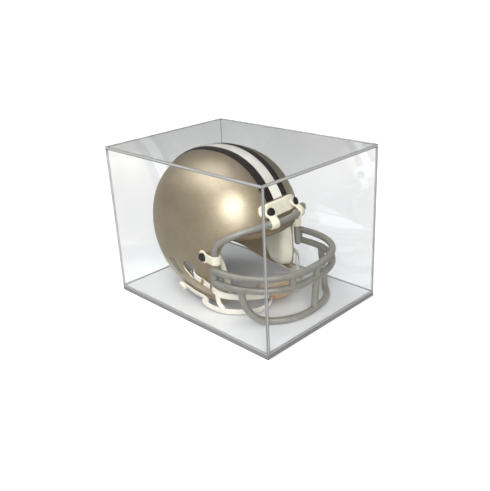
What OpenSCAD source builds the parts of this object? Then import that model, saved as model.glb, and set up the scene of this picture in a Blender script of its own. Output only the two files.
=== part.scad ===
// Clear display case for a half-scale football helmet: a base plate, a lift-off
// cover made of five bonded panels, and the helmet that stands on the base.
// Millimetres. +Z up, +X the way the helmet faces, +Y the helmet's left.
// The origin is the centre of the base plate's underside.

/* [Case] */
// Thickness of the five clear panels
panel_t = 2.5; // [2:0.1:4]
// Thickness of the base plate
base_t = 4; // [3:0.5:8]
// Height of the raised step that locates the cover
step_h = 1.2; // [0.8:0.1:3]
// Gap between the step and the cover's walls
cover_clearance = 0.4; // [0.2:0.1:1]
// Size of the bevel around the base plate's edges
base_bevel = 0.5; // [0.2:0.1:0.8]
// Free space behind the helmet
rear_gap = 1.5; // [1:0.5:40]
// Free space in front of the face mask
front_gap = 10.9; // [3:0.1:40]
// Free space at each side of the helmet
side_gap = 12; // [6:0.5:40]
// Free space over the helmet
top_gap = 3.3; // [2:0.1:40]

/* [Helmet shell] */
// Shell centre to the front
shell_front = 73.5; // [60:0.5:95]
// Shell centre to the back
shell_rear = 78.5; // [60:0.5:95]
// Half of the shell's width
shell_half_w = 62.5; // [52:0.5:76]
// Shell centre to the crown
shell_up = 75; // [62:0.5:90]
// How far the shell would reach below its centre if it were closed
shell_down = 94; // [80:1:115]
// Shell centre above the base
centre_h = 68; // [62:0.5:76]
// Wall thickness of the shell
shell_wall = 2.4; // [1.6:0.1:4]
// Roundness of the shell: 2 is an ellipsoid, more is boxier
roundness = 2.2; // [2:0.05:2.6]
// How far the neck tucks forward
tuck = 45; // [20:1:55]
// Sideways place of the helmet on the base
helmet_shift = 0.5; // [-5:0.5:5]
// How far the helmet is turned on the base, in degrees
helmet_turn = 3.5; // [-6:0.5:6]
// Length of the slanted ear hole
ear_l = 20; // [14:0.5:24]
// Width of the ear hole
ear_w = 13; // [8:0.5:15]

/* [Face mask] */
// Radius of the mask's bars
bar_r = 3.1; // [2.4:0.1:3.6]
// Gap between the bars and the shell
mask_gap = 1.6; // [1.2:0.1:4]
// Shell centre to the middle of the mask's front bars
mask_reach = 109; // [100:0.5:125]
// Height of the upper front bar from the shell's centre
upper_bar_h = -19.5; // [-20:0.5:-12]
// Height of the lower front bar from the shell's centre
lower_bar_h = -31; // [-36:0.5:-30]
// How far back from the front bars the chin loop sits
loop_back = 3; // [1:0.5:8]
// How much narrower the chin loop is than the front bars, at each side
loop_narrow = 9; // [6:0.5:20]

/* [Trim and padding] */
// Width of the white centre stripe
stripe_w = 12; // [8:0.5:18]
// Width of each dark stripe
dark_stripe_w = 8.5; // [4:0.5:12]
// Thickness of the stripes
stripe_t = 0.4; // [0.3:0.1:0.8]
// Thickness of the brow plate
plate_t = 2.4; // [1.5:0.1:3]
// Thickness of the pads
pad_t = 8; // [5:0.5:11]
// Thickness of the jaw pads
jaw_pad_t = 12; // [8:0.5:14]
// Radius of the clip screws' heads
screw_head_r = 3.6; // [2.6:0.1:4.4]
// Radius of the clip screws' shanks
screw_shank_r = 1.4; // [1:0.1:1.8]
// Width of the chin straps
strap_w = 6; // [4:0.5:8]
// Thickness of the chin straps
strap_t = 1.2; // [0.8:0.1:2]

/* [Hidden] */

fit_gap = 0.3;                          // between pieces that lie against each other
floor_z = base_t + step_h;              // what the helmet stands on
case_l = 2 * panel_t + rear_gap + shell_rear + mask_reach + bar_r + front_gap;
case_w = 2 * (panel_t + shell_half_w + side_gap);
case_h = floor_z + centre_h + shell_up + top_gap + panel_t;
helmet_at = [-case_l / 2 + panel_t + rear_gap + shell_rear, helmet_shift, floor_z + centre_h];

// ---- The shell as a surface -------------------------------------------------
// A rounded egg: each half-length has its own value, and |x/a|^n + |y/b|^n + |z/c|^n = 1.
// Below the centre the section slides forward, which tucks the neck in.

function ring_reach(az, off) = pow(
    pow(abs(cos(az)) / ((cos(az) > 0 ? shell_front : shell_rear) + off), roundness)
    + pow(abs(sin(az)) / (shell_half_w + off), roundness), -1 / roundness);
function half_height(h, off) = (h > 0 ? shell_up : shell_down) + off;
function shrink(share) = pow(max(0, 1 - pow(min(1, abs(share)), roundness)), 1 / roundness);
function tucked(p) = p + [p.z < 0 ? tuck * pow(p.z / shell_down, 2) : 0, 0, 0];

// The shell's point at an azimuth and a height, moved out by off, before the tuck
function raw_at(az, h, off = 0) = let (r = shrink(h / half_height(h, off)) * ring_reach(az, off))
    [r * cos(az), r * sin(az), h];
function at(az, h, off = 0) = tucked(raw_at(az, h, off));

// The same surface cut by the plane y: phi is 0 at the front, 90 at the crown, 180 at the back
function over(phi, y, off = 0) = let (
        a = (cos(phi) > 0 ? shell_front : shell_rear) + off,
        c = (sin(phi) > 0 ? shell_up : shell_down) + off,
        r = shrink(y / (shell_half_w + off))
            * pow(pow(abs(cos(phi)) / a, roundness) + pow(abs(sin(phi)) / c, roundness),
                  -1 / roundness))
    tucked([r * cos(phi), y, r * sin(phi)]);

// The same surface along a direction from the centre
function along(d, off = 0) = let (r = pow(
        pow(abs(d.x) / ((d.x > 0 ? shell_front : shell_rear) + off), roundness)
        + pow(abs(d.y) / (shell_half_w + off), roundness)
        + pow(abs(d.z) / half_height(d.z, off), roundness), -1 / roundness))
    tucked(d * r);

// ---- Small helpers ----------------------------------------------------------
function unit(v) = v / norm(v);
function mixed(a, b, t) = a + (b - a) * t;
function signed_pow(v, e) = sign(v) * pow(abs(v), e);
function last(list) = len(list) - 1;

// Smooth curve through points: t runs from 0 at the first point to 1 at the last
function through(points, t) = let (
        n = last(points), s = min(n - 0.00001, t * n), i = floor(s), u = s - i,
        a = points[max(0, i - 1)], b = points[i], c = points[i + 1], d = points[min(n, i + 2)])
    0.5 * (2 * b + (c - a) * u + (2 * a - 5 * b + 4 * c - d) * u * u
        + (3 * b - a - 3 * c + d) * u * u * u);
function smooth(points, steps) = [for (i = [0:steps]) through(points, i / steps)];

// Two grids of points, rows by columns, joined into one solid: the first lies outside
module slab(outer, inner) {
    m = len(outer);
    n = len(outer[0]);
    half = m * n;
    rim = concat([for (j = [0:n - 2]) [0, j]], [for (i = [0:m - 2]) [i, n - 1]],
        [for (j = [n - 1:-1:1]) [m - 1, j]], [for (i = [m - 1:-1:1]) [i, 0]]);
    faces = concat(
        [for (i = [0:m - 2], j = [0:n - 2], k = [0, 1]) k == 0
            ? [i * n + j, i * n + j + 1, (i + 1) * n + j + 1]
            : [i * n + j, (i + 1) * n + j + 1, (i + 1) * n + j]],
        [for (i = [0:m - 2], j = [0:n - 2], k = [0, 1]) k == 0
            ? [half + i * n + j, half + (i + 1) * n + j + 1, half + i * n + j + 1]
            : [half + i * n + j, half + (i + 1) * n + j, half + (i + 1) * n + j + 1]],
        [for (i = [0:len(rim) - 1], k = [0, 1]) let (
                p = rim[i], q = rim[(i + 1) % len(rim)],
                a = p[0] * n + p[1], b = q[0] * n + q[1])
            k == 0 ? [a, half + a, half + b] : [a, half + b, b]]);
    polyhedron(points = concat([for (row = outer) each row], [for (row = inner) each row]),
        faces = faces);
}

// Part of the shell's skin between two azimuths and two heights
module skin(az, h, off, columns, rows) {
    function grid(o) = [for (i = [0:rows]) [for (j = [0:columns])
        at(mixed(az[0], az[1], j / columns), mixed(h[0], h[1], i / rows), o)]];
    slab(grid(off[1]), grid(off[0]));
}

// Part of the shell's skin that runs fore and aft between two planes
module band(phi, y, off, steps, columns) {
    function grid(o) = [for (j = [0:columns]) [for (i = [0:steps])
        over(mixed(phi[0], phi[1], i / steps), mixed(y[0], y[1], j / columns), o)]];
    slab(grid(off[1]), grid(off[0]));
}

// A section carried along a path; up is the direction that the section's second axis keeps to,
// or a list with one for each point
module sweep(path, section, up = [0, 0, 1]) {
    n = len(section);
    m = len(path);
    points = [for (i = [0:m - 1]) let (
            t = unit(path[min(m - 1, i + 1)] - path[max(0, i - 1)]),
            side = unit(cross(is_list(up[0]) ? up[i] : up, t)), top = cross(t, side))
        for (q = section) path[i] + q.x * side + q.y * top];
    faces = concat(
        [for (i = [0:m - 2], j = [0:n - 1], k = [0, 1]) let (
                a = i * n + j, b = i * n + (j + 1) % n)
            k == 0 ? [a, b + n, b] : [a, a + n, b + n]],
        [[for (j = [0:n - 1]) j], [for (j = [n - 1:-1:0]) (m - 1) * n + j]]);
    polyhedron(points = points, faces = faces);
}
function bar_section(r) = [for (i = [0:7]) r * [cos(22.5 + 45 * i), sin(22.5 + 45 * i)]];
function strap_section(w, t) = [[w / 2, -t / 2], [w / 2, t / 2], [-w / 2, t / 2], [-w / 2, -t / 2]];

// Children stand on the shell: +Z outwards, +X level and forwards round the left side
module seated(az, h, off) {
    n = normal_at(az, h, off);
    t = unit(cross([0, 0, 1], n));
    b = cross(n, t);
    p = at(az, h, off);
    multmatrix([[t.x, b.x, n.x, p.x], [t.y, b.y, n.y, p.y], [t.z, b.z, n.z, p.z], [0, 0, 0, 1]])
        children();
}
function normal_at(az, h, off) = unit(cross(at(az + 1, h, off) - at(az - 1, h, off),
    at(az, h + 1, off) - at(az, h - 1, off)));

// The helmet's pieces are drawn round the shell's centre, and stand on the base turned a little
module on_base() {
    translate(helmet_at) rotate([0, 0, helmet_turn]) children();
}

// Children and their copy on the helmet's other side
module both_sides() {
    children();
    mirror([0, 1, 0]) children();
}

// ---- The case ---------------------------------------------------------------
inside_l = case_l - 2 * panel_t;
inside_w = case_w - 2 * panel_t;
wall_h = case_h - base_t - panel_t;
panel_tint = [0.86, 0.89, 0.9, 0.3];

// A plate with its four upright corners and its rim bevelled
module bevelled_plate(l, w, t, bevel) {
    hull() {
        translate([-l / 2 + bevel, -w / 2 + bevel, 0]) cube([l - 2 * bevel, w - 2 * bevel, t]);
        translate([-l / 2, -w / 2, bevel]) cube([l, w, t - 2 * bevel]);
    }
}

module case_base() {
    step_l = inside_l - 2 * cover_clearance;
    step_w = inside_w - 2 * cover_clearance;
    color([0.8, 0.81, 0.82]) {
        bevelled_plate(case_l, case_w, base_t, base_bevel);
        translate([-step_l / 2, -step_w / 2, base_t - 1]) cube([step_l, step_w, step_h + 1]);
    }
}

module panel(size, place) {
    color(panel_tint) translate(place) cube(size);
}
module cover_top() panel([case_l, case_w, panel_t], [-case_l / 2, -case_w / 2, case_h - panel_t]);
module cover_right() panel([case_l, panel_t, wall_h], [-case_l / 2, -case_w / 2, base_t]);
module cover_left() panel([case_l, panel_t, wall_h], [-case_l / 2, case_w / 2 - panel_t, base_t]);
module cover_front() panel([panel_t, inside_w, wall_h], [case_l / 2 - panel_t, -inside_w / 2, base_t]);
module cover_back() panel([panel_t, inside_w, wall_h], [-case_l / 2, -inside_w / 2, base_t]);

// ---- The helmet's shell -----------------------------------------------------
// Its edge as azimuth and height from the centre: brow, face opening, jaw flap, neck
brow_h = 16;
jaw_h = 9 - centre_h;
neck_h = 26 - centre_h;
edge_half = [[0, brow_h], [22, brow_h], [38, 13], [48, 5], [53, -7], [54.5, -22], [55.5, -36],
    [58, -50], [65, jaw_h], [78, jaw_h], [97, jaw_h], [115, mixed(jaw_h, neck_h, 0.3)],
    [132, mixed(jaw_h, neck_h, 0.75)], [152, neck_h], [180, neck_h]];
edge_steps = 30;
half_edge = smooth(edge_half, edge_steps);
edge = concat([for (p = half_edge) p], [for (i = [edge_steps - 1:-1:1]) [-half_edge[i][0], half_edge[i][1]]]);
// Where the columns of the shell's mesh meet, high on the back
crown_pole = [-sin(50), 0, cos(50)];

// A direction part of the way from the pole to an edge point, along a great circle
function toward_edge(e, share) = let (
        d = unit(raw_at(e[0], e[1])), w = acos(crown_pole * d))
    (crown_pole * sin((1 - share) * w) + d * sin(share * w)) / sin(w);

module shell_solid() {
    rows = 14;
    n = len(edge);
    layer = 1 + rows * n;
    function layer_points(off) = concat([along(crown_pole, off)],
        [for (i = [1:rows], e = edge) along(toward_edge(e, i / rows), off)]);
    function id(i, j) = 1 + (i - 1) * n + j % n;
    faces = concat(
        [for (j = [0:n - 1]) [0, id(1, j + 1), id(1, j)]],
        [for (i = [1:rows - 1], j = [0:n - 1], k = [0, 1]) k == 0
            ? [id(i, j), id(i, j + 1), id(i + 1, j + 1)]
            : [id(i, j), id(i + 1, j + 1), id(i + 1, j)]],
        [for (j = [0:n - 1]) [layer, layer + id(1, j), layer + id(1, j + 1)]],
        [for (i = [1:rows - 1], j = [0:n - 1], k = [0, 1]) k == 0
            ? [layer + id(i, j), layer + id(i + 1, j + 1), layer + id(i, j + 1)]
            : [layer + id(i, j), layer + id(i + 1, j), layer + id(i + 1, j + 1)]],
        [for (j = [0:n - 1], k = [0, 1]) k == 0
            ? [id(rows, j), id(rows, j + 1), layer + id(rows, j + 1)]
            : [id(rows, j), layer + id(rows, j + 1), layer + id(rows, j)]]);
    polyhedron(points = concat(layer_points(0), layer_points(-shell_wall)), faces = faces);
}

// Middle and slant of the ear hole, seen from the side
ear_az = 86;
ear_h = -29;
ear_slant = 47;

module ear_holes() {
    middle = at(ear_az, ear_h);
    straight = ear_l - ear_w;
    translate([middle.x, 0, middle.z]) rotate([90, ear_slant, 0])
        for (x = [-1, 1]) {
            translate([x * straight / 2, 0, 0])
                cylinder(d = ear_w, h = 2 * shell_half_w + 20, center = true, $fn = 48);
            cube([straight, ear_w, 2 * shell_half_w + 20], center = true);
        }
}

module helmet_shell() {
    color([0.72, 0.67, 0.57]) difference() {
        shell_solid();
        ear_holes();
        both_sides() {
            screw_hole(front_clip_az, front_clip_h);
            screw_hole(side_clip_az, side_clip_h);
        }
    }
}

// ---- Stripes, brow plate and neck trim --------------------------------------
// They lie on the shell, each a little clear of its facets
skin_gap = 0.15;
// Angles over the crown at which the stripes start and stop
stripe_phi = [29.3, 203];

module stripe(y) {
    band(stripe_phi, y, [skin_gap, skin_gap + stripe_t], 34, 2);
}
module stripe_center() color([0.93, 0.9, 0.82]) stripe([-stripe_w / 2, stripe_w / 2]);
module stripe_left() color([0.13, 0.09, 0.07])
    stripe([stripe_w / 2 + fit_gap, stripe_w / 2 + fit_gap + dark_stripe_w]);
module stripe_right() color([0.13, 0.09, 0.07])
    stripe([-stripe_w / 2 - fit_gap - dark_stripe_w, -stripe_w / 2 - fit_gap]);

plate_az = 19;
plate_h = [24.3, 36];
module brow_plate() {
    color([0.93, 0.9, 0.82]) difference() {
        skin([-plate_az, plate_az], plate_h, [skin_gap, skin_gap + plate_t], 16, 4);
        both_sides() screw_hole(front_clip_az, front_clip_h);
    }
}

// A strip of soft edging that wraps the shell's lower edge at the neck
module neck_trim() {
    color([0.9, 0.87, 0.78]) skin([140, 220], [neck_h - 1.5, neck_h + 5], [skin_gap, skin_gap + 1.8], 20, 2);
}

// ---- Face mask --------------------------------------------------------------
// Seen from above, each front bar is half of a rounded rectangle
mask_root = 46;                                  // shell centre to where the bars run straight
mask_round = 2.4;
bar_half_w = shell_half_w + 0.6;
function mask_plan(a, inset) = [
    mask_root + (mask_reach - inset.x - mask_root) * signed_pow(cos(a), 2 / mask_round),
    (bar_half_w - inset.y) * signed_pow(sin(a), 2 / mask_round)];
function on_bar(a, h, inset = [0, 0]) = [mask_plan(a, inset).x, mask_plan(a, inset).y, h];

bar_off = mask_gap + bar_r;
// Where the side bars cross the shell's face opening
side_az = 55.2;
// The upper bar: round the side of the shell to the clip, then up and along the brow
brow_route = [[side_az, lower_bar_h], [side_az, upper_bar_h], [side_az, -10], [side_az, -2],
    [side_az - 2, 4.5], [44, 11.5], [35, 15.7], [27, 17.8], [18.5, 18.8], [10.5, 18]];
cross_h = brow_h + 3.5;
// The ties between the bars are a little thinner than the bars
web_r = bar_r - 0.25;

module front_bar(h) {
    steps = 32;
    sweep([for (i = [0:steps]) on_bar(-90 + 180 * i / steps, h)], bar_section(bar_r));
}

// The chin loop leaves the lower bar at the side, drops to the base and runs round the front
loop_turn = 70;
loop_flat = 46;
loop_low = bar_r - centre_h;
loop_r = bar_r - 0.15;                           // so that its ends sink into the lower bar
loop_inset = [loop_back, loop_narrow];
function loop_point(a) = let (
        s = max(0, (abs(a) - loop_flat) / (loop_turn - loop_flat)),
        rise = 1 - sqrt(max(0, 1 - s * s)), k = s * s * (3 - 2 * s))
    on_bar(a, mixed(loop_low, lower_bar_h, rise), loop_inset * (1 - k));
module chin_loop() {
    steps = 30;
    sweep([for (i = [0:steps]) loop_point(-loop_turn + 2 * loop_turn * i / steps)], bar_section(loop_r));
}

module upright(a, h0, h1, inset0 = [0, 0], inset1 = [0, 0]) {
    hull() {
        translate(on_bar(a, h0, inset0)) sphere(web_r, $fn = 12);
        translate(on_bar(a, h1, inset1)) sphere(web_r, $fn = 12);
    }
}

// A flat gusset that ties the two front bars together beside the jaw
module side_gusset() {
    for (h = [upper_bar_h, lower_bar_h]) hull() for (x = [mask_root - 4, mask_root + 8])
        translate([x, -bar_half_w, h]) sphere(web_r, $fn = 12);
    hull() for (h = [upper_bar_h, lower_bar_h])
        translate([mask_root - 4, -bar_half_w, h]) sphere(web_r - 0.1, $fn = 12);
}

module face_mask() {
    color([0.6, 0.59, 0.57]) {
        front_bar(upper_bar_h);
        front_bar(lower_bar_h);
        chin_loop();
        both_sides() {
            sweep([for (q = smooth(brow_route, 20)) at(-q[0], q[1], bar_off)], bar_section(bar_r),
                [1, 0, 0]);
            translate(at(-brow_route[last(brow_route)][0], brow_route[last(brow_route)][1], bar_off))
                hull() for (x = [0, 0.4]) translate([0, x, 0]) sphere(bar_r, $fn = 12);
            side_gusset();
            upright(-24, upper_bar_h, lower_bar_h);
        }
        sweep([for (i = [-8:8]) at(2.1 * i, cross_h, bar_off + 1)], bar_section(bar_r));
        upright(0, upper_bar_h, lower_bar_h);
        upright(0, lower_bar_h, loop_low, [0, 0], loop_inset);
    }
}

// ---- Clips, screws and nuts -------------------------------------------------
front_clip_az = 14;
front_clip_h = 28;
side_clip_az = 66;
side_clip_h = -10;
clip_t = 2;
wrap_t = 1.3;
wrap_half = 4.2;

module screw_hole(az, h) {
    seated(-az, h, 0) translate([0, 0, -20]) cylinder(r = screw_shank_r + fit_gap, h = 40, $fn = 32);
}

// A tab under a screw, which reaches to a sleeve round a bar
module clip_tab(reach, turn) {
    rotate([0, 0, turn]) hull() {
        cylinder(r = screw_head_r + 1.6, h = clip_t, $fn = 32);
        translate([-wrap_half + 0.8, -reach, 0]) cube([2 * wrap_half - 1.6, 1, clip_t]);
    }
}

module front_clip() color([0.93, 0.9, 0.82]) {
    off = skin_gap + plate_t + fit_gap;
    reach = front_clip_h - cross_h - bar_r;
    difference() {
        union() {
            seated(-front_clip_az, front_clip_h, off) clip_tab(reach + clip_t, 0);
            bar_wrap(-front_clip_az, cross_h, bar_off + 1, 90);
        }
        screw_hole(front_clip_az, front_clip_h);
    }
}
module side_clip() color([0.93, 0.9, 0.82]) {
    reach = norm(at(side_clip_az, side_clip_h) - at(side_az, side_clip_h)) - bar_r;
    difference() {
        union() {
            seated(-side_clip_az, side_clip_h, skin_gap) clip_tab(reach + clip_t, 90);
            bar_wrap(-side_az, side_clip_h, bar_off, 0);
        }
        screw_hole(side_clip_az, side_clip_h);
    }
}
// A short sleeve round a bar that runs level (turn 90) or upright (turn 0) at a place on the shell
module bar_wrap(az, h, off, turn) {
    seated(az, h, off) rotate([0, turn, 0]) rotate([90 - turn, 0, 0]) difference() {
        cylinder(r = bar_r + wrap_t, h = 2 * wrap_half, center = true, $fn = 48);
        cylinder(r = bar_r + 0.1, h = 2 * wrap_half + 1, center = true, $fn = 48);
    }
}

module clip_front_right() front_clip();
module clip_front_left() mirror([0, 1, 0]) front_clip();
module clip_side_right() side_clip();
module clip_side_left() mirror([0, 1, 0]) side_clip();

// Children stand on the shell at each clip screw; $seat is how far out its head sits
head_gap = 0.2;
module at_clip_screws() {
    both_sides() {
        seated(-front_clip_az, front_clip_h, 0)
            let ($seat = skin_gap + plate_t + fit_gap + clip_t + head_gap) children();
        seated(-side_clip_az, side_clip_h, 0) let ($seat = skin_gap + clip_t + head_gap) children();
    }
}

head_dome = 2.2;
nut_t = 1.4;
nut_boss = 3;
nut_gap = 1.5;                                   // its flat flange stands clear of the curved wall
nut_flange_r = 5.5;
shank_in = shell_wall + nut_gap + nut_t + nut_boss + 0.5;
// A domed head, drawn as the top of a ball, on a plain shank that reaches through the nut
module clip_screws() {
    ball = (screw_head_r * screw_head_r + head_dome * head_dome) / (2 * head_dome);
    color([0.05, 0.05, 0.05]) at_clip_screws() {
        translate([0, 0, $seat]) intersection() {
            translate([0, 0, head_dome - ball]) sphere(ball, $fn = 48);
            cylinder(r = screw_head_r, h = head_dome, $fn = 48);
        }
        translate([0, 0, -shank_in])
            cylinder(r = screw_shank_r, h = shank_in + $seat + head_dome / 2, $fn = 32);
    }
}

// Flanged nuts inside the shell
module clip_nuts() {
    color([0.75, 0.75, 0.76]) at_clip_screws() difference() {
        union() {
            translate([0, 0, -shell_wall - nut_gap - nut_t])
                cylinder(r = nut_flange_r, h = nut_t, $fn = 48);
            translate([0, 0, -shell_wall - nut_gap - nut_t - nut_boss])
                cylinder(r = nut_flange_r / 2, h = nut_boss + nut_t, $fn = 48);
        }
        translate([0, 0, -20]) cylinder(r = screw_shank_r + 0.05, h = 30, $fn = 32);
    }
}

// Room for a side nut in the pad that covers it
module nut_pocket() {
    seated(-side_clip_az, side_clip_h, 0) translate([0, 0, -shank_in - 1])
        cylinder(r = nut_flange_r + 0.6, h = shank_in + 4, $fn = 48);
}

// ---- Pads -------------------------------------------------------------------
pad_back = -shell_wall - 1.1;
pad_off = [pad_back - pad_t, pad_back];
jaw_pad_off = [pad_back - jaw_pad_t, pad_back];
pad_cream = [0.9, 0.87, 0.78];
pad_tan = [0.5, 0.4, 0.29];
pad_grey = [0.42, 0.42, 0.42];

module front_pad() color(pad_tan) skin([-44, 44], [5, 20], pad_off, 16, 3);
module crown_pad() color(pad_tan) band([62, 122], [-24, 24], pad_off, 10, 8);
module back_pad() color(pad_grey) skin([142, 218], [-34, 4], pad_off, 14, 6);
module side_pad() color(pad_grey) skin([-128, -90], [-38, 36], pad_off, 8, 10);
module side_pad_right() side_pad();
module side_pad_left() mirror([0, 1, 0]) side_pad();
module jaw_pad() color(pad_cream) {
    difference() {
        skin([-87, -52.5], [-54, -2], jaw_pad_off, 7, 9);
        nut_pocket();
        ear_holes();
    }
}
module jaw_pad_right() jaw_pad();
module jaw_pad_left() mirror([0, 1, 0]) jaw_pad();

// ---- Chin cup ---------------------------------------------------------------
cup_r = 19;
cup_wall = 1.6;
liner_t = 2.4;
cup_at = [59, 0, cup_r - centre_h];
cup_tilt = 22;

// A bowl that opens upwards and back, cut from two balls about one centre
module bowl(outer_r, inner_r) {
    translate(cup_at) difference() {
        sphere(outer_r, $fn = 64);
        sphere(inner_r, $fn = 64);
        rotate([0, -cup_tilt, 0]) translate([-40, -40, -2]) cube(80);
    }
}
module chin_cup() color([0.76, 0.63, 0.47]) bowl(cup_r, cup_r - cup_wall);
module chin_cup_liner() color([0.86, 0.8, 0.7])
    bowl(cup_r - cup_wall - 0.1, cup_r - cup_wall - 0.1 - liner_t);

// ---- Straps -----------------------------------------------------------------
// Each route is for the right side, and is given from the shell's centre
strap_low = strap_w / 2 + 0.6 - centre_h;
strap_out = strap_t / 2 + 1.6;
function strap_points(on, free) = concat([for (q = on) at(q[0], q[1], q[2])], free);
// A strap's face looks straight out of the shell where it lies on it, and then away from the jaw
strap_middle = [20, 0, -52];
function strap_faces(on, free) = concat([for (q = on) normal_at(q[0], q[1], 0)],
    [for (p = free) unit(p - strap_middle)]);
upper_on = [[-91, -25, -1.2], [-87.5, -27, 0.8], [-82, -31, strap_out], [-75, -36, strap_out],
    [-69, -41, strap_out]];
upper_free = [[41, -59, -44], [49, -53, -47.5], [57, -41, -51], [63, -28, -54], [66, -18.2, -55.4]];
lower_on = [[-112, -50, strap_out], [-100, -54.5, strap_out], [-86, -58, strap_out + 0.6]];
lower_free = [[20, -56.5, -61], [32, -56.5, -63.5], [44, -54, strap_low + 0.3], [57, -46, strap_low],
    [68, -34, strap_low], [69.5, -22, strap_low + 1], [66, -14, strap_low + 2]];
upper_route = strap_points(upper_on, upper_free);
upper_up = strap_faces(upper_on, upper_free);
lower_route = strap_points(lower_on, lower_free);
lower_up = strap_faces(lower_on, lower_free);
branch_route = [[40.5, -59, -44.3], [41, -58, -54], [44, -55.5, -61]];
strap_white = [0.93, 0.9, 0.83];

module upper_strap() color(strap_white) {
    sweep(smooth(upper_route, 26), strap_section(strap_w, strap_t), smooth(upper_up, 26));
    sweep(smooth(branch_route, 6), strap_section(strap_w * 0.7, strap_t), [0.8, -0.5, 0.1]);
}
module lower_strap() color(strap_white)
    sweep(smooth(lower_route, 28), strap_section(strap_w, strap_t), smooth(lower_up, 28));
module upper_strap_right() upper_strap();
module upper_strap_left() mirror([0, 1, 0]) upper_strap();
module lower_strap_right() lower_strap();
module lower_strap_left() mirror([0, 1, 0]) lower_strap();

// Children at a place on a route: +Z along it, +Y out of the strap's face
module on_route(route, t, faces) {
    p = through(route, t);
    n = unit(through(route, t + 0.02) - through(route, t - 0.02));
    side = unit(cross(through(faces, t), n));
    top = cross(n, side);
    multmatrix([[side.x, top.x, n.x, p.x], [side.y, top.y, n.y, p.y], [side.z, top.z, n.z, p.z],
        [0, 0, 0, 1]]) children();
}

// A slide that holds the upper strap's loop: two sleeves round the strap
slide_l = 2.4;
module strap_slide() color([0.72, 0.6, 0.42]) for (t = [0.34, 0.47])
    on_route(upper_route, t, upper_up) difference() {
        cube([strap_w + 3, strap_t + 2.2, slide_l], center = true);
        cube([strap_w + 0.4, strap_t + 0.4, slide_l + 2], center = true);
    }
module strap_slide_right() strap_slide();
module strap_slide_left() mirror([0, 1, 0]) strap_slide();

// The snap at the back end of the lower strap, pressed on a stud on the shell
snap_az = 112;
snap_h = -50;
snap_r = 5;
snap_t = 2.4;
stud_r = 2.2;
snap_seat = strap_out + strap_t / 2 + 0.1;
module strap_snap() color(strap_white) seated(-snap_az, snap_h, 0) translate([0, 0, snap_seat])
    difference() {
        cylinder(r = snap_r, h = snap_t, $fn = 48);
        translate([0, 0, -1]) cylinder(r = 1.3, h = snap_t + 2, $fn = 32);
    }
module strap_snap_right() strap_snap();
module strap_snap_left() mirror([0, 1, 0]) strap_snap();
module snap_studs() color([0.3, 0.3, 0.3]) both_sides() seated(-snap_az, snap_h, 0)
    translate([0, 0, 0.1]) cylinder(r = stud_r, h = strap_out - strap_t / 2 - 0.5, $fn = 32);

// ---- Assembly ---------------------------------------------------------------
case_base();
cover_top();
cover_front();
cover_back();
cover_left();
cover_right();
on_base() helmet_shell();
on_base() stripe_center();
on_base() stripe_left();
on_base() stripe_right();
on_base() brow_plate();
on_base() neck_trim();
on_base() face_mask();
on_base() clip_front_left();
on_base() clip_front_right();
on_base() clip_side_left();
on_base() clip_side_right();
on_base() clip_screws();
on_base() clip_nuts();
on_base() front_pad();
on_base() crown_pad();
on_base() back_pad();
on_base() side_pad_left();
on_base() side_pad_right();
on_base() jaw_pad_left();
on_base() jaw_pad_right();
on_base() chin_cup();
on_base() chin_cup_liner();
on_base() upper_strap_left();
on_base() upper_strap_right();
on_base() lower_strap_left();
on_base() lower_strap_right();
on_base() strap_slide_left();
on_base() strap_slide_right();
on_base() strap_snap_left();
on_base() strap_snap_right();
on_base() snap_studs();
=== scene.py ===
"""A clear display case with a half-scale football helmet in it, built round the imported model.

The case stands on the floor with its middle at the origin, and the helmet looks along +X. Helmet
pieces are worked out in metres about the middle of the helmet's shell, with +X forwards and +Z up,
and Helmet.placed() then stands them on the base.
"""

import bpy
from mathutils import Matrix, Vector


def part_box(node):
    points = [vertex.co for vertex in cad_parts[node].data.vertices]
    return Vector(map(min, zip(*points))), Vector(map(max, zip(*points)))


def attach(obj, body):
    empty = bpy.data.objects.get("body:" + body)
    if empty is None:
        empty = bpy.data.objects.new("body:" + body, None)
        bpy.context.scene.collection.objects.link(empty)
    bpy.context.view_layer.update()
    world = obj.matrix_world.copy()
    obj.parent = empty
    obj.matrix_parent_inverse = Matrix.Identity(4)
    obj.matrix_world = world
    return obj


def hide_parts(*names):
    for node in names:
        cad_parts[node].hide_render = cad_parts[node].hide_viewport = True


bl_info = {
    "name": "Football display case",
    "version": (1, 0, 0),
    "blender": (4, 5, 0),
    "location": "3D View > Sidebar > Display Case",
    "description": "Builds a clear display case with a half-scale football helmet in it",
    "category": "Add Mesh",
}

import math

import bpy
import numpy as np
from bpy.props import FloatProperty, FloatVectorProperty, PointerProperty
from bpy.types import Operator, Panel, PropertyGroup
from mathutils import Matrix, Vector

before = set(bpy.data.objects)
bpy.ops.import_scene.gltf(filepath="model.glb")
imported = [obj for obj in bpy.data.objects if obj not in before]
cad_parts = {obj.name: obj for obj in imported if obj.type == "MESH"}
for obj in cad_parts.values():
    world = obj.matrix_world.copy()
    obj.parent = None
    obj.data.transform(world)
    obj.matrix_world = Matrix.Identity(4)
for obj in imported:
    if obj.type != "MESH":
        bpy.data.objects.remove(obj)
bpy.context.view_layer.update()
MM = 0.001
MIRRORED = 0.3  # share of the surround's brightness that mirror-like rays get
# The edge finish is painted light and shade, and the seam finish is painted shade.
FACE, LIT_SHADED_EDGE, SHADED_SEAM = 0, 1, 2  # the finishes of the case's pieces, in order


# ---- Sizes and colours ----------------------------------------------------------------------


def length(name, description, default):
    return FloatProperty(
        name=name, description=description, default=default, unit="LENGTH", precision=5
    )


def number(name, description, default):
    return FloatProperty(name=name, description=description, default=default, precision=3)


def turn(name, description, degrees):
    return FloatProperty(
        name=name, description=description, default=math.radians(degrees), subtype="ANGLE"
    )


def colour(name, description, default):
    return FloatVectorProperty(
        name=name, description=description, default=default, size=3, min=0, max=1, subtype="COLOR"
    )


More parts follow.
